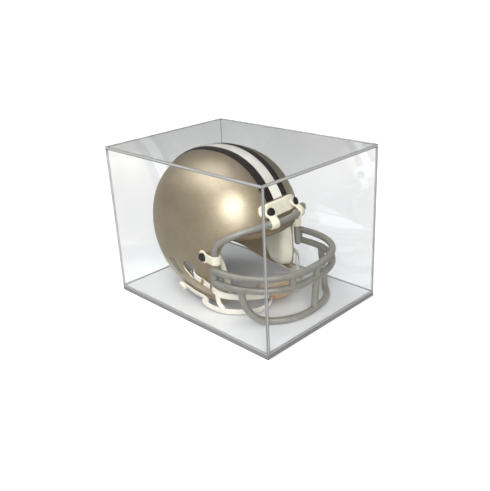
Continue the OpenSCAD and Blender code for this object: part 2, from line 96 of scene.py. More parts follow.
class ShellSizes(PropertyGroup):
    """The helmet's moulded shell, and where it stands."""

    front: length("Front", "From the shell's middle to its front", 0.0735)
    rear: length("Rear", "From the shell's middle to its back", 0.0785)
    side: length("Side", "From the shell's middle to its side", 0.0625)
    up: length("Up", "From the shell's middle to its crown", 0.075)
    down: length("Down", "Half-height that shapes the lower half", 0.094)
    centre_height: length("Centre height", "From the shell's middle down to the base", 0.068)
    power: number("Roundness", "2 is an ellipsoid, and more is boxier", 2.2)
    tuck: length("Tuck", "How far forwards the lower half slides", 0.045)
    wall: length("Wall", "Thickness of the shell", 0.0024)
    forward: length("Forward", "Where the shell's middle is along the case", -0.0215)
    sideways: length("Sideways", "Where the shell's middle is across the case", 0.0005)
    height: length("Height", "Where the shell's middle is above the floor", 0.0732)
    heading: turn("Heading", "How far the helmet is turned on the base", 3.5)
    ear_length: length("Ear hole length", "Length of the slanted ear hole", 0.020)
    ear_width: length("Ear hole width", "Width of the slanted ear hole", 0.013)
    ear_slant: turn("Ear hole slant", "How steeply the ear hole falls forwards", 47)


class TrimSizes(PropertyGroup):
    """Stripes, brow plate, clips, pads and straps."""

    stripe: length("White stripe", "Width of the centre stripe", 0.012)
    dark_stripe: length("Dark stripe", "Width of each dark stripe", 0.0085)
    stripe_depth: length("Stripe depth", "Thickness of the stripes", 0.0004)
    plate: length("Brow plate", "Thickness of the brow plate", 0.0024)
    pad: length("Pad", "Thickness of the pads", 0.008)
    jaw_pad: length("Jaw pad", "Thickness of the jaw pads", 0.012)
    head: length("Screw head", "Radius of the clip screws' heads", 0.0042)
    clip: length("Clip", "Thickness of the clips", 0.0018)
    clip_half: length("Clip half-width", "Half the width of a clip's band", 0.0042)
    strap: length("Strap", "Width of the chin straps", 0.006)
    strap_depth: length("Strap depth", "Thickness of the chin straps", 0.0012)
    cup: length("Chin cup", "Outer radius of the chin cup", 0.019)
    cup_wall: length("Cup wall", "Thickness of the chin cup", 0.0016)
    liner: length("Cup liner", "Thickness of the chin cup's liner", 0.0024)


class MaskSizes(PropertyGroup):
    """The face mask's bars."""

    bar: length("Bar", "Radius of the bars", 0.0031)
    gap: length("Gap", "From the shell to a bar", 0.0016)
    reach: length("Reach", "From the shell's middle to the front bars", 0.109)
    root: length("Root", "From the shell's middle to where the bars run straight", 0.046)
    upper: length("Upper bar", "Height of the upper front bar from the shell's middle", -0.0195)
    lower: length("Lower bar", "Height of the lower front bar from the shell's middle", -0.031)
    loop_back: length("Loop back", "How far behind the bars the chin loop runs", 0.003)
    loop_narrow: length("Loop narrow", "How much narrower the chin loop is, each side", 0.009)
    round: number("Plan", "2 is an ellipse from above, and more is boxier", 2.4)


class CaseSizes(PropertyGroup):
    """Details of the clear case."""

    edge: length("Edge", "Width of the polished bevel on each panel", 0.0003)
    # The foot band is not frosted: it takes the edge finish's painted light and shade.
    foot: length("Foot", "Height of the frosted band along the cover's foot", 0.0018)
    clear: length("Joint", "Width of the glue line between two panels", 0.00004)


class Colours(PropertyGroup):
    """Colours of the finishes."""

    paint: colour("Paint", "Champagne metallic paint", (0.50, 0.405, 0.26))
    paint_dark: colour("Paint flake", "Darker flakes in the paint", (0.19, 0.13, 0.06))
    shell_inside: colour("Shell inside", "Bare plastic inside the shell", (0.30, 0.225, 0.13))
    white: colour("White", "Centre stripe", (0.86, 0.83, 0.75))
    dark: colour("Dark", "Dark stripes", (0.012, 0.006, 0.0035))
    cream: colour("Cream", "Brow plate, clips and trim", (0.80, 0.74, 0.58))
    mask: colour("Mask", "Dipped vinyl of the face mask", (0.215, 0.205, 0.175))
    jaw: colour("Jaw pad", "Vinyl of the jaw pads", (0.74, 0.70, 0.57))
    tan: colour("Tan pad", "Vinyl of the front and crown pads", (0.26, 0.18, 0.10))
    grey: colour("Grey pad", "Vinyl of the back and side pads", (0.17, 0.165, 0.155))
    cup: colour("Cup", "Chin cup", (0.50, 0.34, 0.19))
    liner: colour("Liner", "Foam in the chin cup", (0.66, 0.56, 0.42))
    webbing: colour("Webbing", "Chin straps", (0.84, 0.80, 0.70))
    brass: colour("Brass", "Strap slides", (0.58, 0.43, 0.22))
    acrylic: colour("Acrylic", "Clear panels", (0.93, 0.94, 0.945))
    # The acrylic edge's grey is painted light and shade on edges that are really clear.
    edge: colour("Acrylic edge", "Polished edges of the panels", (0.56, 0.565, 0.57))
    # The base plate's plain light grey.
    base: colour("Base", "Frosted base plate", (0.70, 0.70, 0.70))
    floor: colour("Floor", "Studio floor", (0.92, 0.92, 0.92))


class ViewSizes(PropertyGroup):
    """The camera and the lights."""

    lens: FloatProperty(name="Lens", description="Focal length in mm", default=46.81)
    place: FloatVectorProperty(
        name="Camera",
        description="Where the camera stands",
        default=(0.42229, -0.40576, 0.29901),
        unit="LENGTH",
    )
    around: turn("Around", "How far the camera stands round from the -Y side", 45.8887)
    above: turn("Above", "How far the camera looks down", 22.8713)
    roll: turn("Roll", "How far the camera leans", -2.8542)
    key: number("Key light", "Strength of the light beside the camera", 2.2)
    key_spread: turn("Key spread", "How wide the key light is in the sky", 40)
    top: number("Top light", "Strength of the light from above", 1.6)
    top_spread: turn("Top spread", "How wide the top light is in the sky", 50)
    sky: number("Surround", "Brightness that the grey surround lends to the object", 0.3)


# ---- Small helpers on arrays ----------------------------------------------------------------


def unit(v):
    """Vectors of length 1, along the last axis."""
    return v / np.linalg.norm(v, axis=-1, keepdims=True)


def mixed(a, b, t):
    """From a at t = 0 to b at t = 1."""
    return a + (b - a) * t


def eased(t):
    """A smooth step: 3t^2 - 2t^3 between 0 and 1."""
    t = np.clip(t, 0, 1)
    return t * t * (3 - 2 * t)


def spow(v, power):
    """A power that keeps the sign."""
    return np.sign(v) * np.abs(v) ** power


def through(points, t):
    """A smooth curve through points (Catmull-Rom); t is 0 at the first and 1 at the last."""
    points = np.asarray(points, float)
    n = len(points) - 1
    s = np.minimum(n - 1e-6, np.asarray(t, float) * n)
    i = np.floor(s).astype(int)
    u = (s - i)[:, None]
    a, b = points[np.maximum(0, i - 1)], points[i]
    c, d = points[i + 1], points[np.minimum(n, i + 2)]
    return 0.5 * (
        2 * b
        + (c - a) * u
        + (2 * a - 5 * b + 4 * c - d) * u**2
        + (3 * b - a - 3 * c + d) * u**3
    )


def tangents(path):
    """Directions along a path of points."""
    return unit(np.gradient(path, axis=0))


def rounded_loop(half_u, half_v, power, count):
    """A closed outline |u/a|^p + |v/b|^p = 1, anticlockwise; power 2 is an ellipse."""
    t = np.linspace(0, 2 * np.pi, count, endpoint=False)
    return np.stack(
        [half_u * spow(np.cos(t), 2 / power), half_v * spow(np.sin(t), 2 / power)], -1
    )


class Mould:
    """Gathers closed surfaces into the points and faces of one mesh. A face's kind is the place
    of its finish in the piece's list."""

    def __init__(self):
        self.points, self.faces, self.kinds, self.maps, self.count = [], [], [], [], 0

    def add(self, points, faces, kind=0, along=None):
        """Adds points (n, 3) and a list of faces. along is each point's place on a pattern."""
        self.points.append(points)
        self.faces += [[int(i) + self.count for i in f] for f in faces]
        self.kinds += list(np.broadcast_to(kind, len(faces)))
        self.maps.append(np.zeros((len(points), 2)) if along is None else along)
        self.count += len(points)

    def tube(self, rings, along=None, joined=False):
        """Rings (m, n, 3) joined into a skin, with its ends closed or joined to each other. The
        skin is turned to face outwards by the sign of the volume that it encloses, the sum of
        a . (b x c + c x d) over its quads."""
        m, n, _ = rings.shape
        quads = grid_faces(m, n, joined)
        faces = quads.tolist()
        if not joined:
            faces += [list(range(n))[::-1], list(range((m - 1) * n, m * n))]
        points = rings.reshape(-1, 3)
        a, b, c, d = np.moveaxis(points[quads] - points.mean(0), 1, 0)
        if np.sum(a * (np.cross(b, c) + np.cross(c, d))) < 0:
            faces = [f[::-1] for f in faces]
        self.add(points, faces, 0, None if along is None else along.reshape(-1, 2))

    def tubes(self, *parts, joined=False):
        """Adds several skins, and gives the mould back."""
        for rings in parts:
            self.tube(rings, joined=joined)
        return self


def grid_faces(rows, columns, joined=False):
    """Quads between neighbouring rings; the columns always close on themselves, and joined also
    joins the last ring to the first."""
    i = np.arange(rows if joined else rows - 1)[:, None]
    j = np.arange(columns)[None, :]
    down, right = (i + 1) % rows, (j + 1) % columns
    quads = [i * columns + j, i * columns + right, down * columns + right, down * columns + j]
    return np.stack(np.broadcast_arrays(*quads), -1).reshape(-1, 4)


def carried(path, section, faces, swell=1.0):
    """Rings of a section (k, 2) carried along a path: the section's second axis keeps to the
    directions in faces, and swell widens its first axis at each point."""
    t = tangents(path)
    side = unit(np.cross(faces, t))
    top = np.cross(t, side)
    wide = section[None, :, :1] * np.broadcast_to(swell, len(path))[:, None, None]
    return path[:, None] + wide * side[:, None] + section[None, :, 1:] * top[:, None]


def round_ends(rings, depth, steps=4):
    """Domes both ends of a run of rings: each end ring shrinks as the cosine of an angle while it
    moves on by depth times the sine. The angle stops just short of a right angle."""
    angle = np.linspace(0, np.pi / 2, steps + 1)[1:] * 0.98

    def dome(ring, beyond):
        middle = ring.mean(0)
        return [
            middle + (ring - middle) * np.cos(a) + beyond * depth * np.sin(a) for a in angle
        ]

    first, last = rings[0], rings[-1]
    back = unit(first.mean(0) - rings[1].mean(0))
    on = unit(last.mean(0) - rings[-2].mean(0))
    return np.array(dome(first, back)[::-1] + list(rings) + dome(last, on))


def turned(profile, place, steps=40):
    """Rings of a profile (radius, height) turned about the third axis of a 4 by 4 place."""
    t = np.linspace(0, 2 * np.pi, steps, endpoint=False)
    profile = np.asarray(profile, float)
    radius, height = profile[:, 0, None], profile[:, 1, None]
    local = np.stack(np.broadcast_arrays(radius * np.cos(t), radius * np.sin(t), height), -1)
    return local @ place[:3, :3].T + place[:3, 3]


def mirrored(rings):
    """The same rings on the helmet's other side."""
    return rings * np.array([1, -1, 1])


def both_hands(rings):
    """The right-hand rings and their mirror image, by the name of the hand."""
    return {"right": rings, "left": mirrored(rings)}


def arc(start, end, steps):
    """Cosines and sines of angles between two in radians, as pairs."""
    return [(math.cos(a), math.sin(a)) for a in np.linspace(start, end, steps)]


# ---- The helmet's surface -------------------------------------------------------------------


class Helmet:
    """The shell's surface and places on it.

    With half-lengths a, b and c, the surface is |x/a|^n + |y/b|^n + |z/c|^n = 1, where a and c
    have a value for each side of the middle. An offset is added to every half-length. Below the
    middle, x slides forwards by tuck (z/down)^2. Angles are in degrees."""

    def __init__(self, sizes):
        self.s = sizes
        self.brow, self.jaw, self.neck = (MM * v for v in (16.0, -59.0, -42.0))

    def halves(self, x, z, off):
        """The half-lengths a, b and c on the sides of the middle that x and z are on."""
        s = self.s
        a, c = np.where(x > 0, s.front, s.rear), np.where(z > 0, s.up, s.down)
        return a + off, s.side + off, c + off

    def along(self, d, off=0.0):
        """The surface's points in the directions d from its middle."""
        n = self.s.power
        a, b, c = self.halves(d[..., 0], d[..., 2], off)
        total = np.abs(d[..., 0] / a) ** n + np.abs(d[..., 1] / b) ** n
        total += np.abs(d[..., 2] / c) ** n
        return self.tucked(d * total[..., None] ** (-1 / n))

    def tucked(self, p):
        """The lower half's forward slide."""
        low = np.minimum(p[..., 2], 0) / self.s.down
        return p + np.stack([self.s.tuck * low**2, 0 * low, 0 * low], -1)

    def shrink(self, share):
        """How far in the section has drawn at a share of its half-height."""
        n = self.s.power
        return np.maximum(0, 1 - np.minimum(1, np.abs(share)) ** n) ** (1 / n)

    def raw_at(self, az, h, off=0.0):
        """The point at an azimuth and a height, before the tuck."""
        n = self.s.power
        az, h, off = np.broadcast_arrays(np.radians(az), h, off)
        a, b, c = self.halves(np.cos(az), h, off)
        ring = (np.abs(np.cos(az) / a) ** n + np.abs(np.sin(az) / b) ** n) ** (-1 / n)
        r = ring * self.shrink(h / c)
        return np.stack([r * np.cos(az), r * np.sin(az), h], -1)

    def at(self, az, h, off=0.0):
        """The point at an azimuth and a height."""
        return self.tucked(self.raw_at(az, h, off))

    def over(self, phi, y, off=0.0):
        """The point in the plane y, at an angle over the crown: 0 is the front, 180 the back."""
        n = self.s.power
        phi, y, off = np.broadcast_arrays(np.radians(phi), y, off)
        a, b, c = self.halves(np.cos(phi), np.sin(phi), off)
        r = (np.abs(np.cos(phi) / a) ** n + np.abs(np.sin(phi) / c) ** n) ** (-1 / n)
        r = r * self.shrink(y / b)
        return self.tucked(np.stack([r * np.cos(phi), y, r * np.sin(phi)], -1))

    def beside(self, x, z, off=0.0):
        """The point of the right side at x and z: y is what the surface's formula leaves."""
        s, n = self.s, self.s.power
        x0 = x - s.tuck * (np.minimum(z, 0) / s.down) ** 2
        a, b, c = self.halves(x0, z, off)
        left = np.maximum(0, 1 - np.abs(x0 / a) ** n - np.abs(z / c) ** n)
        return np.stack([x, -b * left ** (1 / n), z], -1)

    def normal_at(self, az, h, off=0.0):
        """Outward directions, from the cross product of two short steps on the surface."""
        across = self.at(az + 1.0, h, off) - self.at(az - 1.0, h, off)
        return unit(np.cross(across, self.at(az, h + MM, off) - self.at(az, h - MM, off)))

    def seat(self, az, h, off=0.0, out=0.0):
        """A 4 by 4 place on the shell: its third axis points out, and its first is level."""
        n = self.normal_at(az, h, off)
        t = unit(np.cross([0, 0, 1], n))
        place = np.eye(4)
        place[:3, 0], place[:3, 1], place[:3, 2] = t, np.cross(n, t), n
        place[:3, 3] = self.at(az, h, off) + n * out
        return place

    def edge(self, count):
        """The shell's edge as azimuths and heights: brow, face opening, jaw flap and neck, for
        the left side, and then the same mirrored for the right."""
        jaw, neck, brow = self.jaw, self.neck, self.brow
        half = [
            [0, brow], [22, brow], [38, 13 * MM], [48, 5 * MM], [53, -7 * MM], [54.5, -22 * MM],
            [55.5, -36 * MM], [58, -50 * MM], [65, jaw], [78, jaw], [97, jaw],
            [115, mixed(jaw, neck, 0.3)], [132, mixed(jaw, neck, 0.75)], [152, neck], [180, neck],
        ]
        left = through(half, np.linspace(0, 1, count + 1))
        right = left[1:-1][::-1] * np.array([-1, 1])
        return np.concatenate([left, right])

    def ear(self):
        """The middle of the right ear hole, and the cosine and sine of its slant."""
        return self.at(86, -29 * MM), math.cos(self.s.ear_slant), math.sin(self.s.ear_slant)

    def into_ear(self, x, z):
        """Places on a flank in the ear hole's own axes: along it and across it."""
        m, c, q = self.ear()
        u, v = x - m[0], z - m[2]
        return u * c - v * q, u * q + v * c

    def from_ear(self, u, v):
        """The x and z of places in the ear hole's own axes."""
        m, c, q = self.ear()
        return m[0] + u * c + v * q, m[2] - u * q + v * c

    def placed(self, points):
        """From the helmet's own axes to the frame's: turned, then moved to its place."""
        s = self.s
        c, q = math.cos(s.heading), math.sin(s.heading)
        spin = np.array([[c, -q, 0], [q, c, 0], [0, 0, 1]])
        return points @ spin.T + np.array([s.forward, s.sideways, s.height])


# ---- Making objects -------------------------------------------------------------------------


def make_piece(name, mould, finishes, body, nodes, slot, place=None):
    """Makes the mould's mesh into an object that rides on a body and stands for CAD nodes. The
    helmet's pieces are shaded smooth and moved to their place, and the case's are flat."""
    points = np.concatenate(mould.points)
    if place is not None:
        points = place(points)
    mesh = bpy.data.meshes.new(name)
    mesh.from_pydata(points.tolist(), [], mould.faces)
    for finish in finishes:
        mesh.materials.append(finish)
    mesh.polygons.foreach_set("material_index", np.array(mould.kinds, np.int32))
    mesh.polygons.foreach_set("use_smooth", np.full(len(mesh.polygons), place is not None))
    corner = np.zeros(len(mesh.loops), np.int32)
    mesh.loops.foreach_get("vertex_index", corner)
    layer = mesh.uv_layers.new(name="Pattern")
    layer.data.foreach_set("uv", np.concatenate(mould.maps)[corner].ravel().astype(np.float32))
    mesh.update()
    if mesh.validate():
        raise RuntimeError(f"{name}: the mesh had faults")
    piece = bpy.data.objects.new(name, mesh)
    bpy.context.scene.collection.objects.link(piece)
    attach(piece, body)
    if nodes:
        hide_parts(*nodes)
    return piece


def helmet_piece(helmet, name, mould, finishes, nodes, slot):
    """A piece of the helmet, which stands on the base."""
    return make_piece(name, mould, finishes, "root", nodes, slot, helmet.placed)


def soften(piece, width):
    """Rounds a panel's sharp edges, with the seam's painted shade on the bevels."""
    bevel = piece.modifiers.new("Rounded edges", "BEVEL")
    bevel.width, bevel.segments, bevel.material = width, 2, SHADED_SEAM
    bevel.limit_method, bevel.angle_limit = "ANGLE", math.radians(40)


# ---- Finishes -------------------------------------------------------------------------------


class Link:
    """A shader socket that can be used in sums: 1 - mask, a * b + c and so on."""

    def __init__(self, nodes, socket):
        self.nodes, self.socket = nodes, socket

    def _maths(self, operation, *values):
        return self.nodes.node("ShaderNodeMath", {"operation": operation}, dict(enumerate(values)))

    def __add__(self, other):
        return self._maths("ADD", self, other)

    def __sub__(self, other):
        return self._maths("SUBTRACT", self, other)

    def __rsub__(self, other):
        return self._maths("SUBTRACT", other, self)

    def __mul__(self, other):
        return self._maths("MULTIPLY", self, other)

    __radd__, __rmul__ = __add__, __mul__

    def sine(self):
        return self._maths("SINE", self)

    def or_more(self, other):
        """The larger of two."""
        return self._maths("MAXIMUM", self, other)

    def under(self, limit):
        """1 below a limit, and 0 above it."""
        return self._maths("LESS_THAN", self, limit)

    def step(self, low, high):
        """0 below low, 1 above high, and smooth between."""
        ranged = {"interpolation_type": "SMOOTHSTEP"}
        return self.nodes.node("ShaderNodeMapRange", ranged, {0: self, 1: low, 2: high})


class Nodes:
    """A tree of shader nodes."""

    def __init__(self, tree):
        self.tree = tree
        self.tree.nodes.clear()

    def node(self, kind, settings=None, values=None, output=0):
        """Adds a node: its settings first, then the values or links of its sockets. Gives one of
        its outputs, if it has any."""
        made = self.tree.nodes.new(kind)
        for key, value in (settings or {}).items():
            setattr(made, key, value)
        for key, value in (values or {}).items():
            self.feed(made.inputs[key], value)
        return Link(self, made.outputs[output]) if made.outputs else made

    def feed(self, socket, value):
        """Links a socket to another, or gives it a value."""
        if isinstance(value, Link):
            self.tree.links.new(value.socket, socket)
        elif hasattr(value, "__len__") and socket.type == "RGBA":
            socket.default_value = (*value[:3], 1)
        else:
            socket.default_value = value

    def ray(self, name):
        """What the light path says of the ray."""
        return self.node("ShaderNodeLightPath", output=name)

    def seen(self):
        """1 for what is looked at straight or through the clear panels, and 0 for what only
        lights or is mirrored in something."""
        straight = self.ray("Is Camera Ray").or_more(self.ray("Is Transmission Ray"))
        bounces = self.ray("Diffuse Depth") + self.ray("Glossy Depth")
        return straight * bounces.under(0.5)


class Finish(Nodes):
    """A material round one Principled shader, with the nodes that feed it."""

    def __init__(self, name):
        self.material = bpy.data.materials.new(name)
        self.material.use_nodes = True
        super().__init__(self.material.node_tree)
        self.surface = self.node("ShaderNodeBsdfPrincipled")
        self.shader = self.surface.socket.node
        self.out = self.node("ShaderNodeOutputMaterial", {}, {"Surface": self.surface})
        self.where = self.node("ShaderNodeTexCoord", output="Object")

    def give_way(self, factor, other):
        """Lets another shader take over where the factor is 1."""
        both = self.node("ShaderNodeMixShader", {}, {0: factor, 1: self.surface, 2: other})
        self.feed(self.out.inputs["Surface"], both)

    def set(self, **values):
        """Sets sockets of the shader: base_color=... feeds Base Color."""
        for key, value in values.items():
            name = " ".join(w.capitalize() for w in key.split("_")).replace("Ior", "IOR")
            self.feed(self.shader.inputs[name], value)

    def noise(self, scale, detail, stretch=None):
        """Noise from 0 to 1; scale is its cells in a metre."""
        where = self.where
        if stretch:
            where = self.node("ShaderNodeMapping", {}, {"Vector": where, "Scale": stretch})
        values = {"Vector": where, "Scale": scale, "Detail": detail}
        return self.node("ShaderNodeTexNoise", {}, values)

    def cells(self, scale, feature="F1", output=0):
        """Distance to the nearest of scattered points; scale is their number in a metre."""
        values = {"Vector": self.where, "Scale": scale}
        return self.node("ShaderNodeTexVoronoi", {"feature": feature}, values, output)

    def blend(self, factor, low, high):
        """Mixes two colours."""
        return self.node(
            "ShaderNodeMix", {"data_type": "RGBA"}, {0: factor, 6: low, 7: high}, 2
        )

    def relief(self, height, depth, strength=1.0):
        """Adds a bump whose height from 0 to 1 stands for depth in metres, and gives the
        finished material."""
        bump = {"Height": height, "Distance": depth, "Strength": strength}
        self.set(normal=self.node("ShaderNodeBump", {}, bump))
        return self.material


def scaled(colour_value, by):
    """A colour made darker or lighter."""
    return tuple(min(1, c * by) for c in colour_value)


def paint_finish(c):
    """Champagne metallic paint: fine flakes in two tones under a clear, slightly uneven coat."""
    f = Finish("champagne_paint")
    flakes = f.cells(2600, output=1)
    spark = f.node("ShaderNodeSeparateColor", {}, {0: flakes}, 0)
    drift = f.noise(34, 2).step(0.35, 0.65)
    tone = f.blend(spark.step(0.0, 1.0) * 0.45 + drift * 0.12, c.paint, c.paint_dark)
    f.set(base_color=tone, metallic=0.85, roughness=spark * 0.12 + drift * 0.03 + 0.42)
    f.set(coat_weight=1.0, coat_roughness=0.38, coat_ior=1.85)
    return f.relief(f.noise(260, 2), 0.00001, 0.5)


def vinyl_finish(name, tone, roughness=0.35, grain=900, depth=0.00002, coat=0.0, shine=0.5):
    """Moulded vinyl: faint clouding of the colour and a very fine grain."""
    f = Finish(name)
    cloud = f.noise(90, 4).step(0.3, 0.7)
    fine = f.noise(grain, 2)
    f.set(base_color=f.blend(cloud, scaled(tone, 0.93), scaled(tone, 1.04)))
    f.set(roughness=fine * 0.12 + cloud * 0.05 + (roughness - 0.08), coat_weight=coat)
    f.set(specular_ior_level=shine, coat_roughness=0.08)
    return f.relief(fine, depth)


def leather_finish(name, tone, roughness=0.5):
    """Soft vinyl skin over foam: pebbled cells with creases between, and slow colour drift.
    The darker tone in the creases is painted shade.
    """
    f = Finish(name)
    pebble = f.cells(1100, "F1")
    crease_and_shade = f.cells(620, "DISTANCE_TO_EDGE").step(0.0, 0.12)
    drift = f.noise(60, 4).step(0.3, 0.7)
    # The darker tone in the creases is painted shade; the drift is the vinyl's own.
    f.set(base_color=f.blend(crease_and_shade * 0.35 + drift * 0.65, scaled(tone, 0.84), scaled(tone, 1.06)))
    f.set(roughness=drift * 0.1 + roughness - crease_and_shade * 0.05)
    return f.relief(pebble * 0.4 + crease_and_shade * 0.6, 0.00009)


def webbing_finish(c):
    """Woven strap: warp and weft as two waves across and along it, coated so that it shines a
    little. The raised threads are painted lighter and the hollows darker, as painted shade. The
    pattern's first number runs across the strap and its second along it, in metres."""
    f = Finish("strap_webbing")
    uv = f.node("ShaderNodeUVMap", {"uv_map": "Pattern"}, {})
    warp, weft = (
        (f.node("ShaderNodeSeparateXYZ", {}, {0: uv}, axis) * (2 * math.pi / pitch)).sine()
        for axis, pitch in ((0, 0.7 * MM), (1, 0.9 * MM))
    )
    weave_and_shade = (warp * weft) * 0.5 + 0.5
    soil = f.noise(140, 3).step(0.35, 0.75)
    # Lighter raised threads and darker hollows are painted shade; the soil is the strap's own.
    tone = f.blend(weave_and_shade * 0.55 + soil * 0.3, scaled(c.webbing, 0.82), scaled(c.webbing, 1.03))
    f.set(base_color=tone, roughness=soil * 0.1 + 0.42, sheen_weight=0.15)
    return f.relief(weave_and_shade, 0.00012)


def metal_finish(name, tone, roughness=0.28):
    """Plated metal with fine drawn lines and a little tarnish."""
    f = Finish(name)
    lines = f.noise(700, 2, stretch=(1, 1, 9))
    tarnish = f.noise(210, 3).step(0.45, 0.75)
    f.set(base_color=f.blend(tarnish * 0.5, tone, scaled(tone, 0.7)), metallic=1.0)
    f.set(roughness=lines * 0.12 + tarnish * 0.1 + (roughness - 0.06))
    return f.relief(lines, 0.00001)


def acrylic_finish(name, tone, shine, index):
    """Clear cast acrylic. Light from the lamps passes straight through it, so that the case
    doesn't throw the dark shadow of a solid block."""
    f = Finish(name)
    f.set(base_color=tone, roughness=0.0, ior=index, transmission_weight=1.0)
    f.set(specular_tint=(shine, shine, shine))
    f.give_way(f.ray("Is Shadow Ray"), f.node("ShaderNodeBsdfTransparent", {}, {0: tone}))
    return f.material


def edge_light_and_shade_finish(c, light=1.0):
    """A panel's sawn and polished edge, with faint saw lines: an opaque grey that is painted light
    and shade, standing in for the light that the clear edge gathers and bends. light scales it.
    """
    f = Finish("acrylic_edge_painted_light_shade")
    lines = f.noise(500, 2, stretch=(1, 1, 0.1))
    # Painted light and shade: an opaque grey where the acrylic is clear.
    tones = scaled(c.edge, 0.9 * light), scaled(c.edge, 1.08 * light)
    f.set(base_color=f.blend(lines, *tones), roughness=lines * 0.1 + 0.2)
    f.set(coat_weight=0.3)
    return f.relief(lines, 0.00001)


def seam_shade_finish(c):
    """The narrow bevels and glue lines along the panels' edges, in a dark grey that is painted
    shade: the dark lines that refraction draws along clear edges, and a contact shadow along the
    base's foot.
    """
    f = Finish("acrylic_seam_painted_shade")
    lines = f.noise(900, 2)
    # The dark grey is painted shade.
    f.set(base_color=f.blend(lines, scaled(c.edge, 0.36), scaled(c.edge, 0.5)))
    f.set(roughness=lines * 0.1 + 0.15)
    return f.material


def base_finish(c):
    """The base plate's sheet: a light grey, almost even, with fine speckle."""
    f = Finish("light_grey_base")
    speck = f.noise(1500, 2)
    f.set(base_color=f.blend(speck, scaled(c.base, 0.97), scaled(c.base, 1.02)))
    f.set(roughness=speck * 0.1 + 0.25, coat_weight=0.4, coat_roughness=0.05)
    return f.relief(speck, 0.000005)


def floor_finish(c):
    """The studio floor: plain and pale where it is seen, and dimmer in what it lends to the
    object, so that the helmet keeps its darker flanks."""
    f = Finish("studio_floor")
    f.set(base_color=f.blend(f.noise(3, 2), scaled(c.floor, 0.995), c.floor), roughness=0.9)
    f.set(specular_ior_level=0.0, emission_color=c.floor, emission_strength=0.27)
    f.give_way(1 - f.seen(), f.node("ShaderNodeBsdfDiffuse", {}, {0: (0.42, 0.405, 0.375)}))
    return f.material


# ---- Pieces ---------------------------------------------------------------------------------


def sizes_of(context, *groups):
    """The helmet, and then the groups of settings that are asked for."""
    scene = context.scene
    return Helmet(scene.case_shell), *(getattr(scene, f"case_{group}") for group in groups)


def slab(low, high):
    """The eight points and six faces of a plate between two corners: the faces across x, then
    those across y and z."""
    x, y, z = zip(low, high)
    points = np.array([[x[i], y[j], z[k]] for i in (0, 1) for j in (0, 1) for k in (0, 1)])
    faces = [[0, 1, 3, 2], [4, 6, 7, 5], [0, 4, 5, 1], [2, 3, 7, 6], [0, 2, 6, 4], [1, 5, 7, 3]]
    return points, faces


class CASE_OT_base(Operator):
    """Build the base plate: a bevelled plate with a raised step"""

    bl_idname = "case.base"
    bl_label = "Base plate"

    def execute(self, context):
        sizes, c = context.scene.case_sizes, context.scene.case_colours
        low, high = (np.array(v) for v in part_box("case_base"))
        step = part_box("cover_front")[0][2]
        inset = 2.9 * MM
        mould = Mould()
        points, faces = slab(low, [high[0], high[1], step - sizes.clear])
        mould.add(points, faces, [LIT_SHADED_EDGE] * 4 + [FACE] * 2)
        foot = [low[0] + inset, low[1] + inset, step - MM]
        mould.add(*slab(foot, [high[0] - inset, high[1] - inset, high[2]]))
        # The base's edges take half the edge grey: painted shade along the band at the case's
        # foot.
        finishes = [base_finish(c), edge_light_and_shade_finish(c, 0.5), seam_shade_finish(c)]
        piece = make_piece("base_plate", mould, finishes, "root", ["case_base"], "base_acrylic")
        soften(piece, sizes.edge)
        return {"FINISHED"}


class CASE_OT_cover(Operator):
    """Build the cover's five clear panels, with polished edges"""

    bl_idname = "case.cover"
    bl_label = "Clear cover"

    def execute(self, context):
        sizes, c = context.scene.case_sizes, context.scene.case_colours
        edge, seam = edge_light_and_shade_finish(c), seam_shade_finish(c)
        calm = acrylic_finish("clear_acrylic", c.acrylic, 0.12, 1.49)
        shiny = acrylic_finish("polished_acrylic", c.acrylic, 1.0, 2.0)
        sides = {"top": calm, "front": calm, "right": calm, "back": shiny, "left": shiny}
        for side, clear in sides.items():
            low, high = (np.array(v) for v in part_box(f"cover_{side}"))
            thin = int(np.argmin(high - low))
            mould = Mould()
            low, high = low + sizes.clear, high - sizes.clear
            foot = low[2] + (sizes.foot if side != "top" else 0)
            kinds = [FACE if k // 2 == thin else LIT_SHADED_EDGE for k in range(6)]
            mould.add(*slab([low[0], low[1], foot], high), kinds)
            # The strip along a wall's foot takes the edge finish's painted light and shade,
            # standing in for the grey band along the case's foot.
            if side != "top":
                mould.add(*slab(low, [high[0], high[1], foot - sizes.clear]), LIT_SHADED_EDGE)
            finishes, nodes = [clear, edge, seam], [f"cover_{side}"]
            piece = make_piece(f"panel_{side}", mould, finishes, "cover", nodes, "clear_acrylic")
            soften(piece, sizes.edge)
        return {"FINISHED"}


